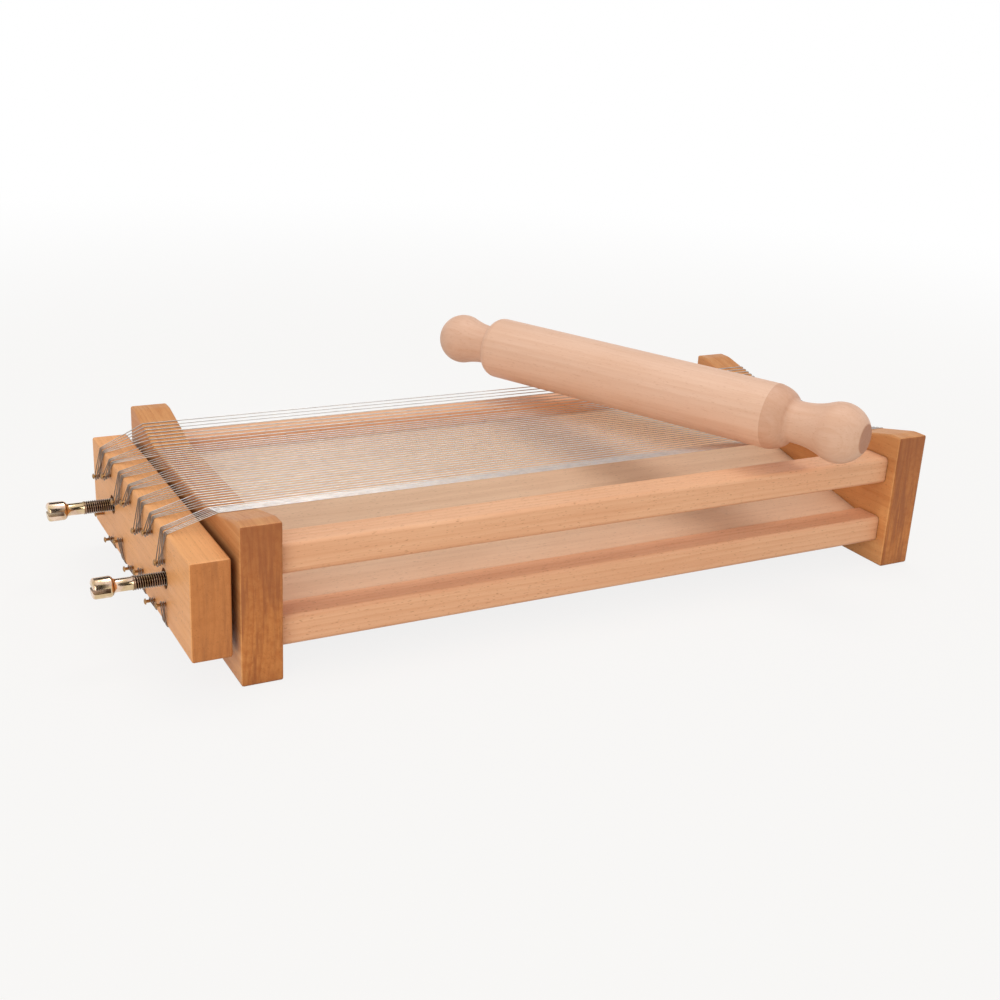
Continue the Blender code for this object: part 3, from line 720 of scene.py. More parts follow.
@dataclass(frozen=True)
class Metal:
    """A plated or drawn metal with patches of film and tarnish, and painted shade in its grooves.

    brushing is how far the fine streaks change the roughness, and crevice_shade_share how far the
    shade tone, as painted shade, fills places that are closed in within crevice_shade_reach.
    Through the shade attribute the same tone is painted shade in a bolt's thread and slot and a
    painted dark reflection on a wire's outer legs.
    """

    slot: str
    bright: Colour
    film: Colour
    tarnish: Colour
    # Painted shade tone; on the wire it is a painted dark reflection.
    shade_tone: Colour
    roughness: float
    film_share: float = 0.5
    tarnish_share: float = 0.4
    tarnish_roughness: float = 0.25
    brushing: float = 0.1
    crevice_shade_share: float = 0.0
    crevice_shade_reach: float = 0.004
    bump_strength: float = 0.15
    bump_distance: float = 0.00005

    def build(self, effects: Effects) -> bpy.types.Material:
        """Make the material.

        Args:
            effects: The shared node groups.

        Returns:
            The finished material.
        """
        material, graph, shader = new_material(self.slot)
        place = graph.add("TexCoord").outputs["Object"]
        marks = effects.put(graph, Effect.HANDLING, Place=place)
        brush = graph.noise(place, Pattern.BRUSH)
        dull = graph.math("MULTIPLY", graph.as_mask(marks["Mottle"], Pattern.MOTTLE),
                          self.tarnish_share)
        colour = graph.tint(linear(self.bright), graph.mask(place, Pattern.FILM), self.film_share,
                            linear(self.film))
        colour = graph.blend(dull, colour, linear(self.tarnish))
        # Painted shade from the shade attribute: a bolt's thread and slot, and a wire's painted
        # dark reflection.
        hollow = graph.add("Attribute", attribute_name=SHADE).outputs["Fac"]
        colour = graph.blend(hollow, colour, linear(self.shade_tone))
        # Painted shade where the surface is closed in.
        if self.crevice_shade_share:
            closed = effects.put(graph, Effect.CREVICES, Distance=self.crevice_shade_reach)["Depth"]
            colour = graph.tint(colour, closed, self.crevice_shade_share, linear(self.shade_tone))
        rough = graph.math("MULTIPLY_ADD", brush, self.brushing, self.roughness - self.brushing / 2)
        rough = graph.math("MULTIPLY_ADD", dull, self.tarnish_roughness, rough)
        bump = graph.add("Bump", {"Strength": self.bump_strength, "Distance": self.bump_distance,
                                  "Height": brush})
        graph.lead({"Base Color": colour, "Roughness": rough, "Normal": bump.outputs[0]}, shader)
        shader.inputs["Metallic"].default_value = 1.0
        return material


class Finish(Enum):
    """Every finish of the object; each value's slot is the record's material slot."""

    # BLOCK's top tone, each wood's tone of closed-in places and BOLT's shade tone are painted
    # shade; STRING's shade tone is a painted dark reflection.
    BLOCK = Wood("block_wood", pale=(246, 182, 118), deep=(204, 122, 58), fleck=(146, 80, 38),
                 end=(214, 190, 162), grain_turn_deg=-90, pith=(0, -0.5, -0.045), ring_share=0.6,
                 streak_share=0.4, end_share=1.0, ray_share=0.55, edge_share=0.4, top_shade_share=0.65,
                 crevice_shade_share=0.45, crevice_shade_reach=0.022)
    RAIL = Wood("rail_wood", pale=(243, 190, 150), deep=(217, 149, 105), fleck=(166, 102, 64),
                end=(215, 190, 170), grain_turn_deg=0, pith=(0, 0.25, 0.12), ring_share=0.45,
                fleck_share=0.5)
    RAMP = Wood("ramp_wood", pale=(236, 200, 168), deep=(210, 165, 130), fleck=(156, 116, 84),
                end=(215, 195, 180), grain_turn_deg=0, pith=(0, 0.02, 0.2), ring_share=0.4)
    TENSION = Wood("tension_wood", pale=(246, 179, 117), deep=(215, 143, 83), fleck=(150, 90, 52),
                   end=(210, 188, 166), grain_turn_deg=-90, pith=(0, -0.4, -0.05), end_share=1.0,
                   ray_share=0.4, edge_share=0.35)
    PIN = Wood("pin_wood", pale=(237, 198, 173), deep=(218, 168, 134), fleck=(192, 134, 98),
               end=(200, 164, 140), grain_turn_deg=64.6, pith=(0, 0.03, -0.09), ring_share=0.3,
               fleck_share=0.25, end_share=1.0, end_from=0.97, end_full=0.999, ray_share=0.1,
               crevice_shade_tone=(150, 92, 52))
    DOWEL = Wood("dowel_wood", pale=(232, 202, 166), deep=(206, 166, 124), fleck=(176, 130, 90),
                 end=(215, 190, 170), grain_turn_deg=0, pith=(0, 0.2, 0.1))
    BOLT = Metal("bolt_metal", bright=(242, 214, 190), film=(206, 182, 124),
                 tarnish=(160, 114, 76), shade_tone=(66, 40, 20), roughness=0.17, film_share=0.6,
                 crevice_shade_share=0.8)
    NAIL = Metal("nail_metal", bright=(176, 134, 90), film=(144, 112, 70), tarnish=(114, 80, 50),
                 shade_tone=(70, 48, 30), roughness=0.3)
    PLATE = Metal("plate_steel", bright=(196, 196, 194), film=(180, 182, 186),
                  tarnish=(150, 148, 142), shade_tone=(80, 78, 74), roughness=0.32)
    STRING = Metal("string_steel", bright=(228, 227, 224), film=(212, 216, 222),
                   tarnish=(176, 168, 156), shade_tone=(112, 84, 60), roughness=0.3,
                   tarnish_share=0.25)


class Paint:
    """Makes each finish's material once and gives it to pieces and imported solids."""

    def __init__(self) -> None:
        """Build the shared groups and all the materials."""
        effects = Effects()
        self.materials = {finish: finish.value.build(effects) for finish in Finish}

    def dress(self, finish: Finish, *nodes: str) -> None:
        """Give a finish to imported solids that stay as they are.

        Args:
            finish: The finish.
            *nodes: Names of the solids.
        """
        for name in nodes:
            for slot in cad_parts[name].material_slots:
                slot.material = self.materials[finish]
            log.info("%s: packed solid, finish %s", name, finish.value.slot)

    def add(self, name: str, mesh: bpy.types.Mesh, finish: Finish,
            stands_for: Iterable[str]) -> bpy.types.Object:
        """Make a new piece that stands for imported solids.

        Args:
            name: The piece's name.
            mesh: Its mesh in the row frame.
            finish: Its finish.
            stands_for: The solids that it replaces.

        Returns:
            The piece, which rides on nothing yet.
        """
        mesh.materials.clear()
        mesh.materials.append(self.materials[finish])
        made = put_in_scene(name, mesh)
        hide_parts(*stands_for)
        log.info("%s: %d points, finish %s", name, len(mesh.vertices), finish.value.slot)
        return made


# Sub-assemblies


@dataclass(frozen=True)
class Body:
    """The wooden frame and the tension block, whose solids keep their shape."""

    block_thickness: float = 0.0229
    block_depth: float = 0.2235
    block_height: float = 0.090
    inner_span: float = 0.4182
    ear_reach: float = 0.058
    ear_flat: float = 0.010
    top_dip: float = 0.011
    dip_rounding: float = 0.020
    foot_recess: float = 0.011
    arris: float = 0.0012
    tension_gap: float = 0.0036
    tension_thickness: float = 0.0216
    tension_height: float = 0.0554

    @property
    def middle_y(self) -> float:
        """Middle of the blocks along Y."""
        return self.block_depth / 2

    @property
    def middle_z(self) -> float:
        """Middle of the blocks' height."""
        return self.block_height / 2

    @property
    def right_outer_x(self) -> float:
        """The right end block's outer face."""
        return 2 * self.block_thickness + self.inner_span

    @property
    def tension_outer_x(self) -> float:
        """The tension block's outer face."""
        return -self.tension_gap - self.tension_thickness

    def top_height(self, y: float) -> float:
        """Height of the end blocks' top: a slope down to the dip, joined by a short curve.

        Args:
            y: Place along Y.

        Returns:
            The height above the floor.
        """
        slope = self.top_dip / (self.ear_reach - self.ear_flat)
        reach = self.dip_rounding * math.tan(math.atan(slope) / 2)
        inside = self.middle_y - abs(y - self.middle_y) - self.ear_reach
        curve = slope * np.clip(reach - inside, 0, 2 * reach) ** 2 / (4 * reach)
        rise = curve + slope * max(-reach - inside, 0)
        return self.block_height - self.top_dip + min(rise, self.top_dip)

    def build(self, paint: Paint) -> None:
        """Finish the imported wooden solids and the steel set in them.

        Args:
            paint: The finishes.
        """
        rails = [f"{side}_{level}" for side in ("front", "back") for level in ("upper", "lower")]
        paint.dress(Finish.BLOCK, "end_block_left", "end_block_right")
        paint.dress(Finish.RAIL, *(f"rail_{rail}" for rail in rails))
        paint.dress(Finish.RAMP, "ramp_board")
        paint.dress(Finish.DOWEL, *(f"dowel_{rail}_{end}" for rail in rails
                                    for end in ("left", "right")))
        paint.dress(Finish.TENSION, "tension_block")
        paint.dress(Finish.PLATE, "tee_nut_near", "tee_nut_far", "thrust_plate_near",
                    "thrust_plate_far")


class Level(Enum):
    """The two faces of the frame that are strung; the value is the way outwards."""

    UPPER = 1
    LOWER = -1


@dataclass(frozen=True)
class StringSet:
    """Runs of one wire: how many, how many to a nail, their pitch and their shift along Y.

    The shift is that of the runs' middle from the blocks' middle.
    """

    level: Level
    runs: int
    per_nail: int
    pitch: float
    shift: float


@dataclass(frozen=True)
class Nails:
    """The headed nails that hold the wires, in two staggered rows on each end."""

    body: Body
    sets: tuple[StringSet, StringSet]
    radius: float = 0.0009
    head_radius: float = 0.0018
    head_thickness: float = 0.0010
    out: float = 0.006
    depth: float = 0.012
    point: float = 0.003
    pitch: float = 0.0242
    row_shift: float = 0.01285
    upper_rise: float = 0.010
    lower_drop: float = 0.015
    stagger: float = 0.008
    left_count: int = 7
    dome_points: int = 7
    sides: int = 20

    def lift(self, level: Level, column: int) -> float:
        """Distance of a nail from the blocks' middle, outwards on its level."""
        base = self.upper_rise if level is Level.UPPER else self.lower_drop
        return base + self.stagger * (column % 2)

    def left_y(self, column: int) -> float:
        """Place of a nail of the tension block along Y."""
        middle = self.body.middle_y + self.row_shift
        return middle + self.pitch * (column - (self.left_count - 1) / 2)

    def right_y(self, strings: StringSet, column: int) -> float:
        """Place of a nail of the right end block along Y, half a group off the left ones."""
        first = self.first_run(strings)
        return first - strings.pitch / 2 + strings.per_nail * strings.pitch * column

    def first_run(self, strings: StringSet) -> float:
        """Place of a set's first run along Y."""
        return self.body.middle_y + strings.shift - strings.pitch * (strings.runs - 1) / 2

    def surface(self, outward: int) -> Surface:
        """One nail along X with its seat at the origin: a domed head, a shank and a point.

        Args:
            outward: 1 where the head points to +X, -1 where it points to -X.

        Returns:
            The nail's surface.
        """
        under = self.out - self.head_thickness
        dome = arc((under, 0), (self.head_thickness, self.head_radius), 0, math.pi / 2,
                   self.dome_points)
        shank = [[-self.depth, 0], [self.point - self.depth, self.radius], [under, self.radius]]
        profile = np.vstack([shank, dome])
        if outward < 0:
            profile = profile[::-1] * (-1, 1)
        return Surface.turned(profile[:, 0], profile[1:-1, 1], self.sides)

    def places(self) -> Iterator[tuple[str, str, int, tuple[float, float, float]]]:
        """Every nail of both levels, the left ones of a level before its right ones.

        Yields:
            Node name, body, outward direction and seat.
        """
        for strings in self.sets:
            level = strings.level.name.lower()
            for column in range(self.left_count):
                z = self.body.middle_z + strings.level.value * self.lift(strings.level, column)
                yield (f"nail_left_{level}_{column + 1}", "tension", -1,
                       (self.body.tension_outer_x, self.left_y(column), z))
            for column in range(strings.runs // strings.per_nail + 1):
                z = self.body.middle_z + strings.level.value * self.lift(strings.level, column)
                yield (f"nail_right_{level}_{column + 1}", "frame", 1,
                       (self.body.right_outer_x, self.right_y(strings, column), z))

    def build(self, paint: Paint) -> None:
        """Make every nail as a piece of its own.

        Args:
            paint: The finishes.
        """
        shapes = {outward: self.surface(outward) for outward in (-1, 1)}
        for name, body, outward, seat in self.places():
            mesh = shapes[outward].placed(BLOCK_ORIGIN + seat).mesh(name + "_turned")
            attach(paint.add(name + "_turned", mesh, Finish.NAIL, [name]), body)


@dataclass(frozen=True)
class Winding:
    """One wire wound from nail to nail on one level, at lifts from the blocks' middle.

    The loops round a nail lie in layers outwards from the face: first_layer and layer_pitch place
    them, and growth widens each by its rank plus first_growth.
    """

    body: Body
    nails: Nails
    strings: StringSet
    radius: float = 0.0003
    first_layer: float = 0.0012
    layer_pitch: float = 0.0013
    growth: float = 0.0005
    first_growth: float = 0.3
    loop_points: int = 17
    bend_points: int = 6
    leg_points: int = 10
    # Painted dark reflection: how dark the wire's legs on the outer faces are.
    end_shade: float = 0.8
    sides: int = 8

    @property
    def lift(self) -> float:
        """Distance of the wire's middle from what it rests on."""
        return self.radius + WIRE_GAP

    def nested(self, runs: Iterable[int], shift: int) -> dict[int, tuple[int, int, int]]:
        """Pair runs that lie in nested loops round the nails.

        Args:
            runs: The runs to pair.
            shift: Number of runs by which the groups start before the first run.

        Returns:
            Partner, nail and rank by run; the rank is 0 for the innermost pair.
        """
        per_nail, pairs = self.strings.per_nail, {}
        for run in runs:
            nail, step = divmod(run + shift, per_nail)
            mirrored = per_nail - 1 - step
            rank = per_nail // 2 - 1 - min(step, mirrored)
            pairs[run] = (nail * per_nail - shift + mirrored, nail, rank)
        return pairs

    def left_pairs(self) -> dict[int, tuple[int, int, int]]:
        """Partner, nail and rank of each run at the left."""
        return self.nested(range(self.strings.runs), 0)

    def right_pairs(self) -> dict[int, tuple[int, int, int]]:
        """The same at the right, half a group off, with the last nails' own pairs.

        Returns:
            Partner, nail and rank by run.
        """
        half, runs = self.strings.per_nail // 2, self.strings.runs
        pairs = self.nested(range(half, runs - half), half)
        ends = [(low, 0) for low in range(1, half - 1, 2)]
        for low, nail in ends + [(runs - 2, runs // self.strings.per_nail)]:
            pairs[low] = (low + 1, nail, 0)
            pairs[low + 1] = (low, nail, 0)
        return pairs

    def order(self) -> list[int]:
        """Follow the wire from its first run, from partner to partner at the left and right.

        Returns:
            The runs in the order in which the wire passes them.
        """
        left, right = self.left_pairs(), self.right_pairs()
        runs, pairs = [0], left
        while runs[-1] in pairs:
            runs.append(pairs[runs[-1]][0])
            pairs = right if pairs is left else left
        return runs

    def loop(self, face_x: float, outward: int, nail_y: float, lift: float,
             rank: int) -> np.ndarray:
        """Half loop on the inner side of a nail: y = nail + r cos a, lift = nail's + r sin a.

        Args:
            face_x: Place of the face that the nail stands in.
            outward: 1 where the face looks to +X, -1 where it looks to -X.
            nail_y: The nail's place along Y.
            lift: The nail's lift.
            rank: The loop's rank.

        Returns:
            Points (x, y, lift) from the nail's lower Y side to its upper one.
        """
        x = face_x + outward * (self.first_layer + self.layer_pitch * rank)
        reach = self.nails.radius + self.lift + self.growth * (rank + self.first_growth)
        angle = np.linspace(math.pi, math.tau, self.loop_points)
        return np.stack([np.full(self.loop_points, x), nail_y + reach * np.cos(angle),
                         lift + reach * np.sin(angle)], axis=-1)

    def left_loop(self, run: int) -> np.ndarray:
        """Loop round the run's left nail.

        Args:
            run: The run.

        Returns:
            Points (x, y, lift) from the run's own side to its partner's.
        """
        partner, nail, rank = self.left_pairs()[run]
        points = self.loop(self.body.tension_outer_x, -1, self.nails.left_y(nail),
                           self.nails.lift(self.strings.level, nail), rank)
        return points if run < partner else points[::-1]

    def right_loop(self, run: int) -> np.ndarray:
        """Loop round the run's right nail; a free end takes the next layer outside the pairs.

        Args:
            run: The run.

        Returns:
            Points (x, y, lift) from the run's own side to its partner's. A free end's go from the
            nail's lower Y side to its upper one.
        """
        pairs = self.right_pairs()
        last = self.strings.runs // self.strings.per_nail
        rank = 1 if run or 1 in pairs else 0
        free = (run, 0 if run < self.strings.runs / 2 else last, rank)
        partner, nail, rank = pairs.get(run, free)
        points = self.loop(self.body.right_outer_x, 1, self.nails.right_y(self.strings, nail),
                           self.nails.lift(self.strings.level, nail), rank)
        return points if run <= partner else points[::-1]

    def bend(self, x: float, lift: float, start: float, end: float) -> np.ndarray:
        """A wire bent round an arris: the arc's middle plus reach (cos a, sin a).

        Args:
            x: The middle's place along X.
            lift: The middle's lift.
            start: First angle in radians, from the +X direction.
            end: Last angle.

        Returns:
            Points (x, lift).
        """
        angle = np.linspace(start, end, self.bend_points)
        reach = self.body.arris + self.lift
        return np.stack([x + reach * np.cos(angle), lift + reach * np.sin(angle)], axis=-1)

    def rest(self, y: float) -> float:
        """Lift of the end blocks' surface under a run.

        Args:
            y: The run's place along Y.

        Returns:
            The surface's distance from the blocks' middle, outwards on this level.
        """
        if self.strings.level is Level.UPPER:
            return self.body.top_height(y) - self.body.middle_z
        return self.body.middle_z - self.body.foot_recess

    def left_leg(self, run: int, y: float) -> np.ndarray:
        """From the left nail over the tension block's arris to the left end block's arris.

        An arc on each arris with an even row of points between them. At the first arc the wire
        has gone from the nail's Y to the run's by its share of the whole way.

        Args:
            run: The run.
            y: Its place along Y.

        Returns:
            Points (x, y, lift).
        """
        body, outer = self.body, self.body.tension_outer_x
        low, high = body.tension_height / 2, self.rest(y)
        climb = math.atan2(high - low, -outer)
        nail_point = self.left_loop(run)[0]
        drop = low - nail_point[2]
        share = drop / (drop + math.hypot(high - low, outer))
        edge_y = nail_point[1] + share * (y - nail_point[1])
        near = self.bend(outer + body.arris, low - body.arris, math.pi, math.pi / 2 + climb)
        far = self.bend(body.arris, high - body.arris, math.pi / 2 + climb, math.pi / 2)
        near = np.insert(near, 1, edge_y, axis=1)
        far = np.insert(far, 1, y, axis=1)
        between = np.linspace(near[-1], far[0], self.leg_points + 2)[1:-1]
        return np.vstack([near, between, far])

    def right_leg(self, y: float) -> np.ndarray:
        """From the run over the right end block's arris, a quarter turn.

        Args:
            y: The run's place along Y.

        Returns:
            Points (x, y, lift).
        """
        body = self.body
        edge = self.bend(body.right_outer_x - body.arris, self.rest(y) - body.arris, math.pi / 2, 0)
        return np.insert(edge, 1, y, axis=1)

    def free_end(self, run: int) -> np.ndarray:
        """The wire's end: a loop round its nail and a short straight end."""
        loop = self.right_loop(run)[::-1]
        return np.vstack([loop[0] + (0, 0, 2 * self.radius), loop])

    def path(self) -> np.ndarray:
        """The wire from end to end, its legs and loops joined in the order of the runs.

        Returns:
            Points in the row frame.
        """
        order, first = self.order(), self.nails.first_run(self.strings)
        parts = [self.free_end(order[0])]
        for place, run in enumerate(order):
            y = first + self.strings.pitch * run
            legs = np.vstack([self.right_leg(y)[::-1], self.left_leg(run, y)[::-1]])
            if place % 2:
                parts += [legs[::-1]] + ([self.right_loop(run)] if run != order[-1] else [])
            else:
                parts += [legs, self.left_loop(run)]
        parts.append(self.free_end(order[-1])[::-1])
        points = np.vstack(parts)
        points[:, 2] = self.body.middle_z + self.strings.level.value * points[:, 2]
        return points + BLOCK_ORIGIN

    def painted_dark_reflection(self, path: np.ndarray) -> np.ndarray:
        """Share of painted dark reflection at each point, rising round the arrises to the outer
        faces.

        Args:
            path: The wire's points in the row frame.

        Returns:
            end_shade times the way past the nearer arris over its radius, between 0 and 1.
        """
        x, arris = path[:, 0] - BLOCK_ORIGIN[0], self.body.arris
        past = np.maximum(self.body.tension_outer_x + arris - x,
                          x - self.body.right_outer_x + arris)
        return self.end_shade * np.clip(past / arris, 0, 1)

    def build(self, paint: Paint) -> None:
        """Make the wire, which stretches between the frame and the tension block.

        Args:
            paint: The finishes.
        """
        level = self.strings.level.name.lower()
        path = self.path()
        surface = Surface.tube(path, self.radius, self.sides)
        # Painted dark reflection on the legs round the outer faces.
        surface.shade = np.repeat(self.painted_dark_reflection(path), self.sides)
        wire = paint.add(f"wire_{level}", surface.mesh(f"wire_{level}"), Finish.STRING,
                         [f"strings_{level}"])
        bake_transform(wire)


@dataclass(frozen=True)
class Bolt:
    """A tension bolt: a slotted cylinder head, a coved neck, a plain shank and a thread.

    spread is the distance between the two bolts, and reach the one from the left end block's
    outer face to the head's front. A tooth_fullness over 1 gives the thread a flat crest,
    tip_depth is the share of the thread's depth that is left at the tip, and chamfer_power is the
    roundness of the tip. slot_shade and crest_shade are painted shade in the slot and on the
    thread, which is darkest in its grooves.
    """

    spread: float = 0.1189
    reach: float = 0.0635
    head_radius: float = 0.00575
    head_length: float = 0.0106
    head_rounding: float = 0.0015
    head_back_deg: float = 72
    neck_cove: float = 0.0024
    neck_rise: float = 0.6
    shank_radius: float = 0.0036
    shank_length: float = 0.0099
    thread_radius: float = 0.004
    thread_pitch: float = 0.00125
    thread_depth: float = 0.00072
    tooth_fullness: float = 1.15
    tip_gap: float = 0.0003
    tip_depth: float = 0.3
    chamfer_power: float = 0.7
    slot_width: float = 0.0026
    slot_depth: float = 0.0088
    slot_shade: float = 1.0
    crest_shade: float = 0.6
    rounding_points: int = 5
    cove_points: int = 7
    sides: int = 48
    steps_per_turn: int = 10

    def outline(self) -> tuple[np.ndarray, np.ndarray]:
        """Profile of head, neck and shank, up to the thread.

        The head's edges are parts of a circle, and the neck is a quarter of an ellipse.

        Returns:
            Places along the axis, and the radius at each.
        """
        start, head_end = -self.reach, self.head_length - self.reach
        quarter, rounding = math.pi / 2, self.head_rounding
        middle, reach = self.head_radius - rounding, (rounding, rounding)
        front = arc((start + rounding, middle), reach, -quarter, 0, self.rounding_points)
        back = arc((head_end - rounding, middle), reach, 0, math.radians(self.head_back_deg),
                   self.rounding_points)
        rise = self.neck_rise * self.neck_cove
        cove = arc((head_end + self.neck_cove, self.shank_radius + rise), (self.neck_cove, rise),
                   -quarter, -math.pi, self.cove_points)
        profile = np.vstack([front, back, cove, [head_end + self.shank_length, self.shank_radius]])
        return profile[:, 0], profile[:, 1]

    def surface(self) -> Surface:
        """The bolt turned about X, its thread a tooth in (along / pitch - angle / turn).

        The radius is the thread's less its depth times one minus the tooth, which is a rounded
        triangle of the part of a turn, and the thread fades in and out at its two ends.

        Returns:
            The surface, whose painted shade goes from crest_shade on a crest to 1 at the bottom of
            the thread's grooves.
        """
        along, radius = self.outline()
        start, end = along[-1] + self.thread_depth, -self.tip_gap
        count = round((end - start) / self.thread_pitch * self.steps_per_turn)
        threaded = np.linspace(start, end, count)
        angle = np.linspace(0, math.tau, self.sides, endpoint=False)
        part = (threaded[:, None] / self.thread_pitch - angle / math.tau) % 1
        tooth = np.clip(self.tooth_fullness * (1 - 2 * np.abs(part - 0.5)), 0, 1)
        tooth = tooth * tooth * (3 - 2 * tooth)
        fade = np.clip((threaded - start) / self.thread_pitch, 0, 1)
        fade *= np.clip((end - threaded) / self.thread_pitch + self.tip_depth, 0, 1)
        chamfer = np.clip((end - threaded) / self.thread_depth, 0, 1) ** self.chamfer_power
        full = self.thread_radius - self.thread_depth * (1 - chamfer)
        hollow = (1 - tooth) * fade[:, None]
        wide = full[:, None] - self.thread_depth * hollow
        plain = np.broadcast_to(radius[:, None], (len(radius), self.sides))
        rows = np.vstack([plain, wide])
        places = np.concatenate([[along[0]], along, threaded, [end]])
        made = Surface.turned(places, rows, self.sides)
        # Painted shade: the whole thread darkens, most in its grooves.
        depth = self.crest_shade + (1 - self.crest_shade) * hollow
        inner = np.vstack([np.zeros(plain.shape), depth]).ravel()
        made.shade = np.concatenate([[0], inner, [0]])
        return made

    def slot(self) -> bpy.types.Object:
        """A box that cuts the slot across the head.

        Returns:
            The box as an object.
        """
        half = np.array([self.slot_depth, 2 * self.head_radius, self.slot_width / 2])
        corners = np.array([[x, y, z] for x in (-1, 1) for y in (-1, 1) for z in (-1, 1)]) * half
        faces = [[0, 1, 3, 2], [4, 6, 7, 5], [0, 4, 5, 1], [2, 3, 7, 6], [0, 2, 6, 4], [1, 5, 7, 3]]
        # Painted shade on the slot's cut walls.
        shade = np.full(len(corners), self.slot_shade)
        mesh = Surface(corners + (-self.reach, 0, 0), faces, shade).mesh("slot")
        return put_in_scene("slot", mesh)

    def slotted(self) -> bpy.types.Mesh:
        """The bolt with its slot cut.

        Returns:
            The mesh, with the bolt's axis on the X axis.
        """
        body, tool = put_in_scene("bolt", self.surface().mesh("bolt")), self.slot()
        cut = body.modifiers.new("slot", "BOOLEAN")
        cut.object, cut.operation, cut.solver = tool, "DIFFERENCE", "EXACT"
        graph = bpy.context.evaluated_depsgraph_get()
        mesh = bpy.data.meshes.new_from_object(body.evaluated_get(graph))
        for scratch in (body, tool):
            bpy.data.objects.remove(scratch)
        mesh.set_sharp_from_angle(angle=math.radians(SHARP_DEG))
        return mesh

    def build(self, paint: Paint, body: Body) -> None:
        """Make both bolts, each turning with its own body.

        Args:
            paint: The finishes.
            body: The frame.
        """
        shape = self.slotted()
        for side, sign in (("near", -1), ("far", 1)):
            mesh = shape.copy()
            place = BLOCK_ORIGIN + (0, body.middle_y + sign * self.spread / 2, body.middle_z)
            mesh.transform(Matrix.Translation(place))
            name = f"tension_bolt_{side}"
            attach(paint.add(name + "_threaded", mesh, Finish.BOLT, [name]), f"bolt_{side}")
        bpy.data.meshes.remove(shape)


@dataclass(frozen=True)
class PinHalf:
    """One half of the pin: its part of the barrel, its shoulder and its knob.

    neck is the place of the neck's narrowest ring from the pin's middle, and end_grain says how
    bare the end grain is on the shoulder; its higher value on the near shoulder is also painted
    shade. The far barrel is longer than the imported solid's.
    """

    knob_radius: float
    half_barrel: float
    shoulder_length: float
    shoulder_drop: float
    shoulder_start_deg: float
    neck: float
    end_grain: float


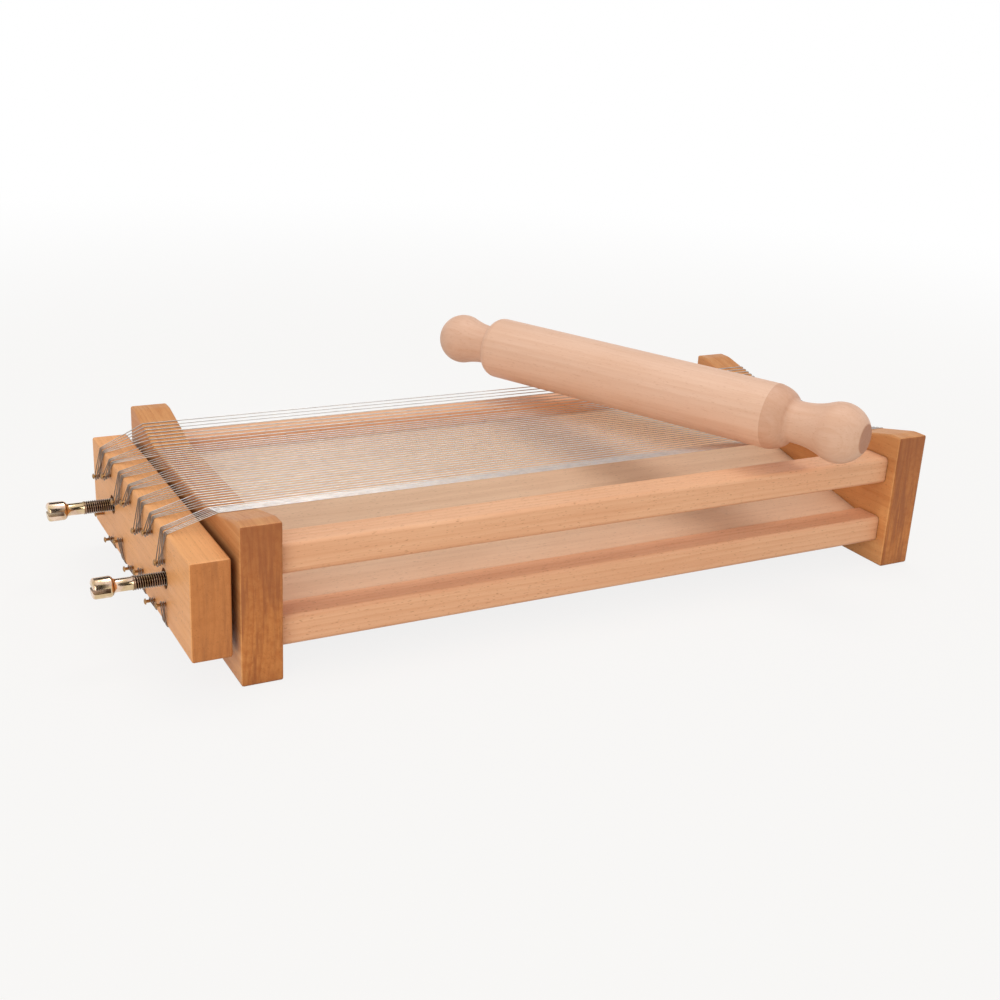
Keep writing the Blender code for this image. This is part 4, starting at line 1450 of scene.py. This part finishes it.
@dataclass(frozen=True)
class RollingPin:
    """The one-piece turned pin: barrel, rounded shoulders, necks and two unlike knobs.

    Its middle is given in the block frame, and it rests on the outermost runs of the upper wire.
    rim is the width of the ring at the barrel's end in which the end grain sets in.
    knob_shade and disc_shade say how bare the end grain is on the knobs and their flat ends;
    knob_shade also darkens the knobs as painted shade.
    """

    middle_x: float = 0.3136
    middle_y: float = 0.12074
    wire_lift: float = 0.0006
    heading_deg: float = 25.4
    barrel_radius: float = 0.0211
    near: PinHalf = PinHalf(
        knob_radius=0.0191, half_barrel=0.1024, shoulder_length=0.0185, shoulder_drop=0.0084,
        shoulder_start_deg=18, neck=0.1195, end_grain=0.4)
    far: PinHalf = PinHalf(
        knob_radius=0.0173, half_barrel=0.1125, shoulder_length=0.0069, shoulder_drop=0.0079,
        shoulder_start_deg=0, neck=0.1228, end_grain=0.08)
    shoulder_end_deg: float = 76
    neck_radius: float = 0.0134
    knob_spacing: float = 0.294
    end_disc_radius: float = 0.009
    rim: float = 0.0003
    knob_shade: float = 0.14
    disc_shade: float = 0.75
    shoulder_points: int = 18
    neck_points: int = 10
    ball_points: int = 30
    sides: int = 128
    sharp_deg: float = 15

    def half_outline(self, pin_half: PinHalf) -> np.ndarray:
        """Half the profile from just before the barrel's end to the flat end of a knob.

        The shoulder is part of an ellipse, the neck runs out of it on one circle and into the
        knob's circle on another, and each curve starts in the direction where the last ended.

        Args:
            pin_half: The half's sizes.

        Returns:
            Points (along, radius, share of bare end grain and painted shade), outwards.
        """
        half_barrel, knob_radius = pin_half.half_barrel, pin_half.knob_radius
        size = (pin_half.shoulder_length, pin_half.shoulder_drop)
        first, last = math.radians(pin_half.shoulder_start_deg), math.radians(self.shoulder_end_deg)
        centre = (half_barrel - size[0] * math.sin(first),
                  self.barrel_radius - size[1] * math.cos(first))
        shoulder = arc(centre, size, first, last, self.shoulder_points)
        slope = math.atan2(size[1] * math.sin(last), size[0] * math.cos(last))
        hollow = (shoulder[-1, 1] - self.neck_radius) / (1 - math.cos(slope))
        hollow_centre = (shoulder[-1, 0] + hollow * math.sin(slope), self.neck_radius + hollow)
        cove = arc(hollow_centre, (hollow, -hollow), -slope, 0, self.neck_points)[1:]
        neck, knob = pin_half.neck, self.knob_spacing / 2
        reach_squared = (knob - neck) ** 2 + self.neck_radius ** 2 - knob_radius ** 2
        throat = reach_squared / (2 * (knob_radius - self.neck_radius))
        lean = math.asin((knob - neck) / (knob_radius + throat))
        out = arc((neck, self.neck_radius + throat), (throat, -throat), 0, lean, self.neck_points)
        flat = math.acos(self.end_disc_radius / knob_radius)
        ball = arc((knob, 0), (knob_radius, knob_radius), -lean, flat, self.ball_points)[1:]
        barrel = [[half_barrel - self.rim, self.barrel_radius]]
        points = np.vstack([barrel, shoulder, cove, out, ball])
        marks = [half_barrel - self.rim, half_barrel, shoulder[-1, 0], neck]
        # Bare end grain, and painted shade on the near shoulder and the knobs.
        shade = np.interp(points[:, 0], marks,
                          [0, pin_half.end_grain, pin_half.end_grain, self.knob_shade])
        shade[-1] = self.disc_shade
        return np.column_stack([points, shade])

    def build(self, paint: Paint, body: Body, first: float, last: float) -> None:
        """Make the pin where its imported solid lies.

        Args:
            paint: The finishes.
            body: The frame.
            first: Place along Y of the front run that carries the pin.
            last: The same of the back run.
        """
        near, far = self.half_outline(self.near), self.half_outline(self.far)
        profile = np.vstack([far[::-1] * (-1, 1, 1), near])
        along = np.concatenate([profile[:1, 0], profile[:, 0], profile[-1:, 0]])
        low, high = body.top_height(first), body.top_height(last)
        rise = (high - low) / (last - first)
        direction = Vector((math.tan(math.radians(self.heading_deg)), -1, -rise)).normalized()
        turn = np.array(Vector((1, 0, 0)).rotation_difference(direction).to_matrix())
        wires = low + self.wire_lift + rise * (self.middle_y - first)
        height = wires + (self.barrel_radius + self.wire_lift) * math.hypot(1, rise)
        place = BLOCK_ORIGIN + (self.middle_x, self.middle_y, height)
        surface = Surface.turned(along, profile[:, 1], self.sides)
        ends = [self.disc_shade]
        surface.shade = np.concatenate([ends, np.repeat(profile[:, 2], self.sides), ends])
        mesh = surface.placed(place, turn).mesh("rolling_pin_turned", self.sharp_deg)
        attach(paint.add("rolling_pin_turned", mesh, Finish.PIN, ["rolling_pin"]), "pin")


# Studio


@dataclass(frozen=True)
class Lamp:
    """A soft square lamp that looks at a point."""

    name: str
    place: tuple[float, float, float]
    size: float
    power: float
    colour: Colour = (1.0, 1.0, 1.0)

    def build(self, target: Vector) -> None:
        """Make the lamp.

        Args:
            target: The point that it looks at.
        """
        light = bpy.data.lights.new(self.name, "AREA")
        light.shape, light.size = "SQUARE", self.size
        light.energy, light.color = self.power, self.colour
        lamp = put_in_scene(self.name, light)
        lamp.location = self.place
        lamp.rotation_euler = (target - lamp.location).to_track_quat("-Z", "Y").to_euler()


@dataclass(frozen=True)
class Card:
    """A dark card that only mirrors show, so that metal has contrast on white surroundings."""

    name: str
    direction: tuple[float, float, float]
    distance: float
    width: float
    height: float
    paint: Linear = (0.02, 0.018, 0.015, 1)

    def build(self) -> None:
        """Make the card, square to the line from the origin."""
        centre = Vector(self.direction).normalized() * self.distance
        turn = centre.to_track_quat("Z", "Y").to_matrix()
        corners = [turn @ Vector((x * self.width / 2, y * self.height / 2, 0)) + centre
                   for x, y in ((-1, -1), (1, -1), (1, 1), (-1, 1))]
        mesh = bpy.data.meshes.new(self.name)
        mesh.from_pydata(corners, [], [[0, 1, 2, 3]])
        material, _, shader = new_material(self.name)
        shader.inputs["Base Color"].default_value = self.paint
        shader.inputs["Roughness"].default_value = 1.0
        mesh.materials.append(material)
        card = put_in_scene(self.name, mesh)
        card.visible_camera = card.visible_diffuse = card.visible_shadow = False


@dataclass(frozen=True)
class Camera:
    """The camera fitted to the object's corners in the picture; its angles are in radians."""

    place: tuple[float, float, float] = (-0.394612, -0.731981, 0.344707)
    yaw: float = 0.505764
    pitch: float = 0.354498
    roll: float = 0.053584
    focal_share: float = 1.357357
    sensor_mm: float = 36.0
    clip: tuple[float, float] = (0.01, 100)

    def build(self) -> None:
        """Make the camera and set it as the scene's own."""
        data = bpy.data.cameras.new("camera")
        data.sensor_width = self.sensor_mm
        data.lens = self.focal_share * self.sensor_mm
        data.clip_start, data.clip_end = self.clip
        camera = put_in_scene("camera", data)
        forward = Vector((math.sin(self.yaw) * math.cos(self.pitch),
                          math.cos(self.yaw) * math.cos(self.pitch), -math.sin(self.pitch)))
        level = Vector((math.cos(self.yaw), -math.sin(self.yaw), 0))
        up = level.cross(forward)
        right = level * math.cos(self.roll) + up * math.sin(self.roll)
        upright = up * math.cos(self.roll) - level * math.sin(self.roll)
        matrix = Matrix((right, upright, -forward)).transposed().to_4x4()
        matrix.translation = Vector(self.place)
        camera.matrix_world = matrix
        bpy.context.scene.camera = camera


@dataclass(frozen=True)
class Studio:
    """Plain pale floor, white surroundings and soft lamps.

    floor_glow is the white that the camera and mirrors see in the floor near the object, and
    between fade_start and fade_end from it the floor goes fully white.
    """

    floor_radius: float = 60.0
    floor_corners: int = 64
    floor_drop: float = 0.0002
    floor_paint: Linear = (0.62, 0.57, 0.5, 1)
    floor_roughness: float = 0.9
    floor_specular: float = 0.1
    floor_glow: float = 0.84
    fade_start: float = 0.45
    fade_end: float = 1.7
    world_level: float = 0.62
    lamp_target: tuple[float, float, float] = (0.02, 0.0, 0.05)
    lamps: tuple[Lamp, ...] = (
        Lamp("key", (0.4, 0.3, 1.85), size=0.8, power=10.0, colour=(1.0, 0.98, 0.96)),
        Lamp("front", (-1.25, -1.45, 0.8), size=1.2, power=13.5, colour=(1.0, 0.95, 0.87)),
    )
    cards: tuple[Card, ...] = (
        Card("front_card", (-0.48, -0.88, 0.42), distance=2.2, width=3.0, height=3.0),
        Card("back_card", (0.34, 0.62, 0.7), distance=3.0, width=4.0, height=2.2),
    )

    def white_share(self, graph: Graph) -> Socket:
        """Mask of the rays that see plain white.

        Args:
            graph: A material's or the world's graph.

        Returns:
            One where the ray comes from the camera, a mirror or glass.
        """
        path = graph.add("LightPath").outputs
        seen = graph.math("MAXIMUM", path["Is Camera Ray"], path["Is Glossy Ray"])
        return graph.math("MAXIMUM", seen, path["Is Transmission Ray"])

    def build_floor(self) -> None:
        """A wide pale disc that the camera sees nearly white, with the object's shadow on it."""
        angle = np.linspace(0, math.tau, self.floor_corners, endpoint=False)
        rim = self.floor_radius * np.stack([np.cos(angle), np.sin(angle), 0 * angle], axis=-1)
        mesh = bpy.data.meshes.new("floor")
        mesh.from_pydata((rim - (0, 0, self.floor_drop)).tolist(), [],
                         [list(range(self.floor_corners))])
        material, graph, shader = new_material("floor_paper")
        shader.inputs["Base Color"].default_value = self.floor_paint
        shader.inputs["Roughness"].default_value = self.floor_roughness
        shader.inputs["Specular IOR Level"].default_value = self.floor_specular
        glow = graph.add("Emission", {"Color": WHITE, "Strength": 1.0})
        away = graph.vector("LENGTH", graph.add("TexCoord").outputs["Object"])
        fade = graph.step(away, self.fade_start, self.fade_end)
        glow_share = graph.math("MULTIPLY_ADD", fade, 1 - self.floor_glow, self.floor_glow)
        share = graph.math("MULTIPLY", self.white_share(graph), glow_share)
        mix = graph.add("MixShader", {0: share, 1: shader.outputs[0], 2: glow.outputs[0]})
        graph.lead({0: mix.outputs[0]}, graph.tree.nodes["Material Output"])
        mesh.materials.append(material)
        put_in_scene("floor", mesh)

    def build_world(self) -> None:
        """Even light from all round, seen as white."""
        world = bpy.data.worlds.new("surroundings")
        world.use_nodes = True
        graph = Graph(world.node_tree)
        plain = world.node_tree.nodes["Background"]
        plain.inputs["Color"].default_value = WHITE
        plain.inputs["Strength"].default_value = self.world_level
        seen = graph.add("Background", {"Color": WHITE, "Strength": 1.0})
        mix = graph.add("MixShader", {0: self.white_share(graph), 1: plain.outputs[0],
                                      2: seen.outputs[0]})
        graph.lead({0: mix.outputs[0]}, world.node_tree.nodes["World Output"])
        bpy.context.scene.world = world

    def build(self) -> None:
        """Make everything round the object."""
        self.build_floor()
        self.build_world()
        for card in self.cards:
            card.build()
        for lamp in self.lamps:
            lamp.build(Vector(self.lamp_target))
        Camera().build()
        bpy.context.scene.view_settings.view_transform = "Standard"


def main() -> None:
    """Build every part from the wooden frame outwards."""
    logging.basicConfig(level=logging.INFO, format="%(name)s: %(message)s")
    paint = Paint()
    body = Body()
    upper = StringSet(Level.UPPER, runs=42, per_nail=6, pitch=0.0038, shift=0.006)
    lower = StringSet(Level.LOWER, runs=24, per_nail=4, pitch=0.0053, shift=0)
    nails = Nails(body, (upper, lower))
    body.build(paint)
    nails.build(paint)
    for strings in nails.sets:
        Winding(body, nails, strings).build(paint)
    Bolt().build(paint, body)
    first = nails.first_run(upper)
    RollingPin().build(paint, body, first, first + upper.pitch * (upper.runs - 1))
    Studio().build()


if __name__ == "__main__":
    main()
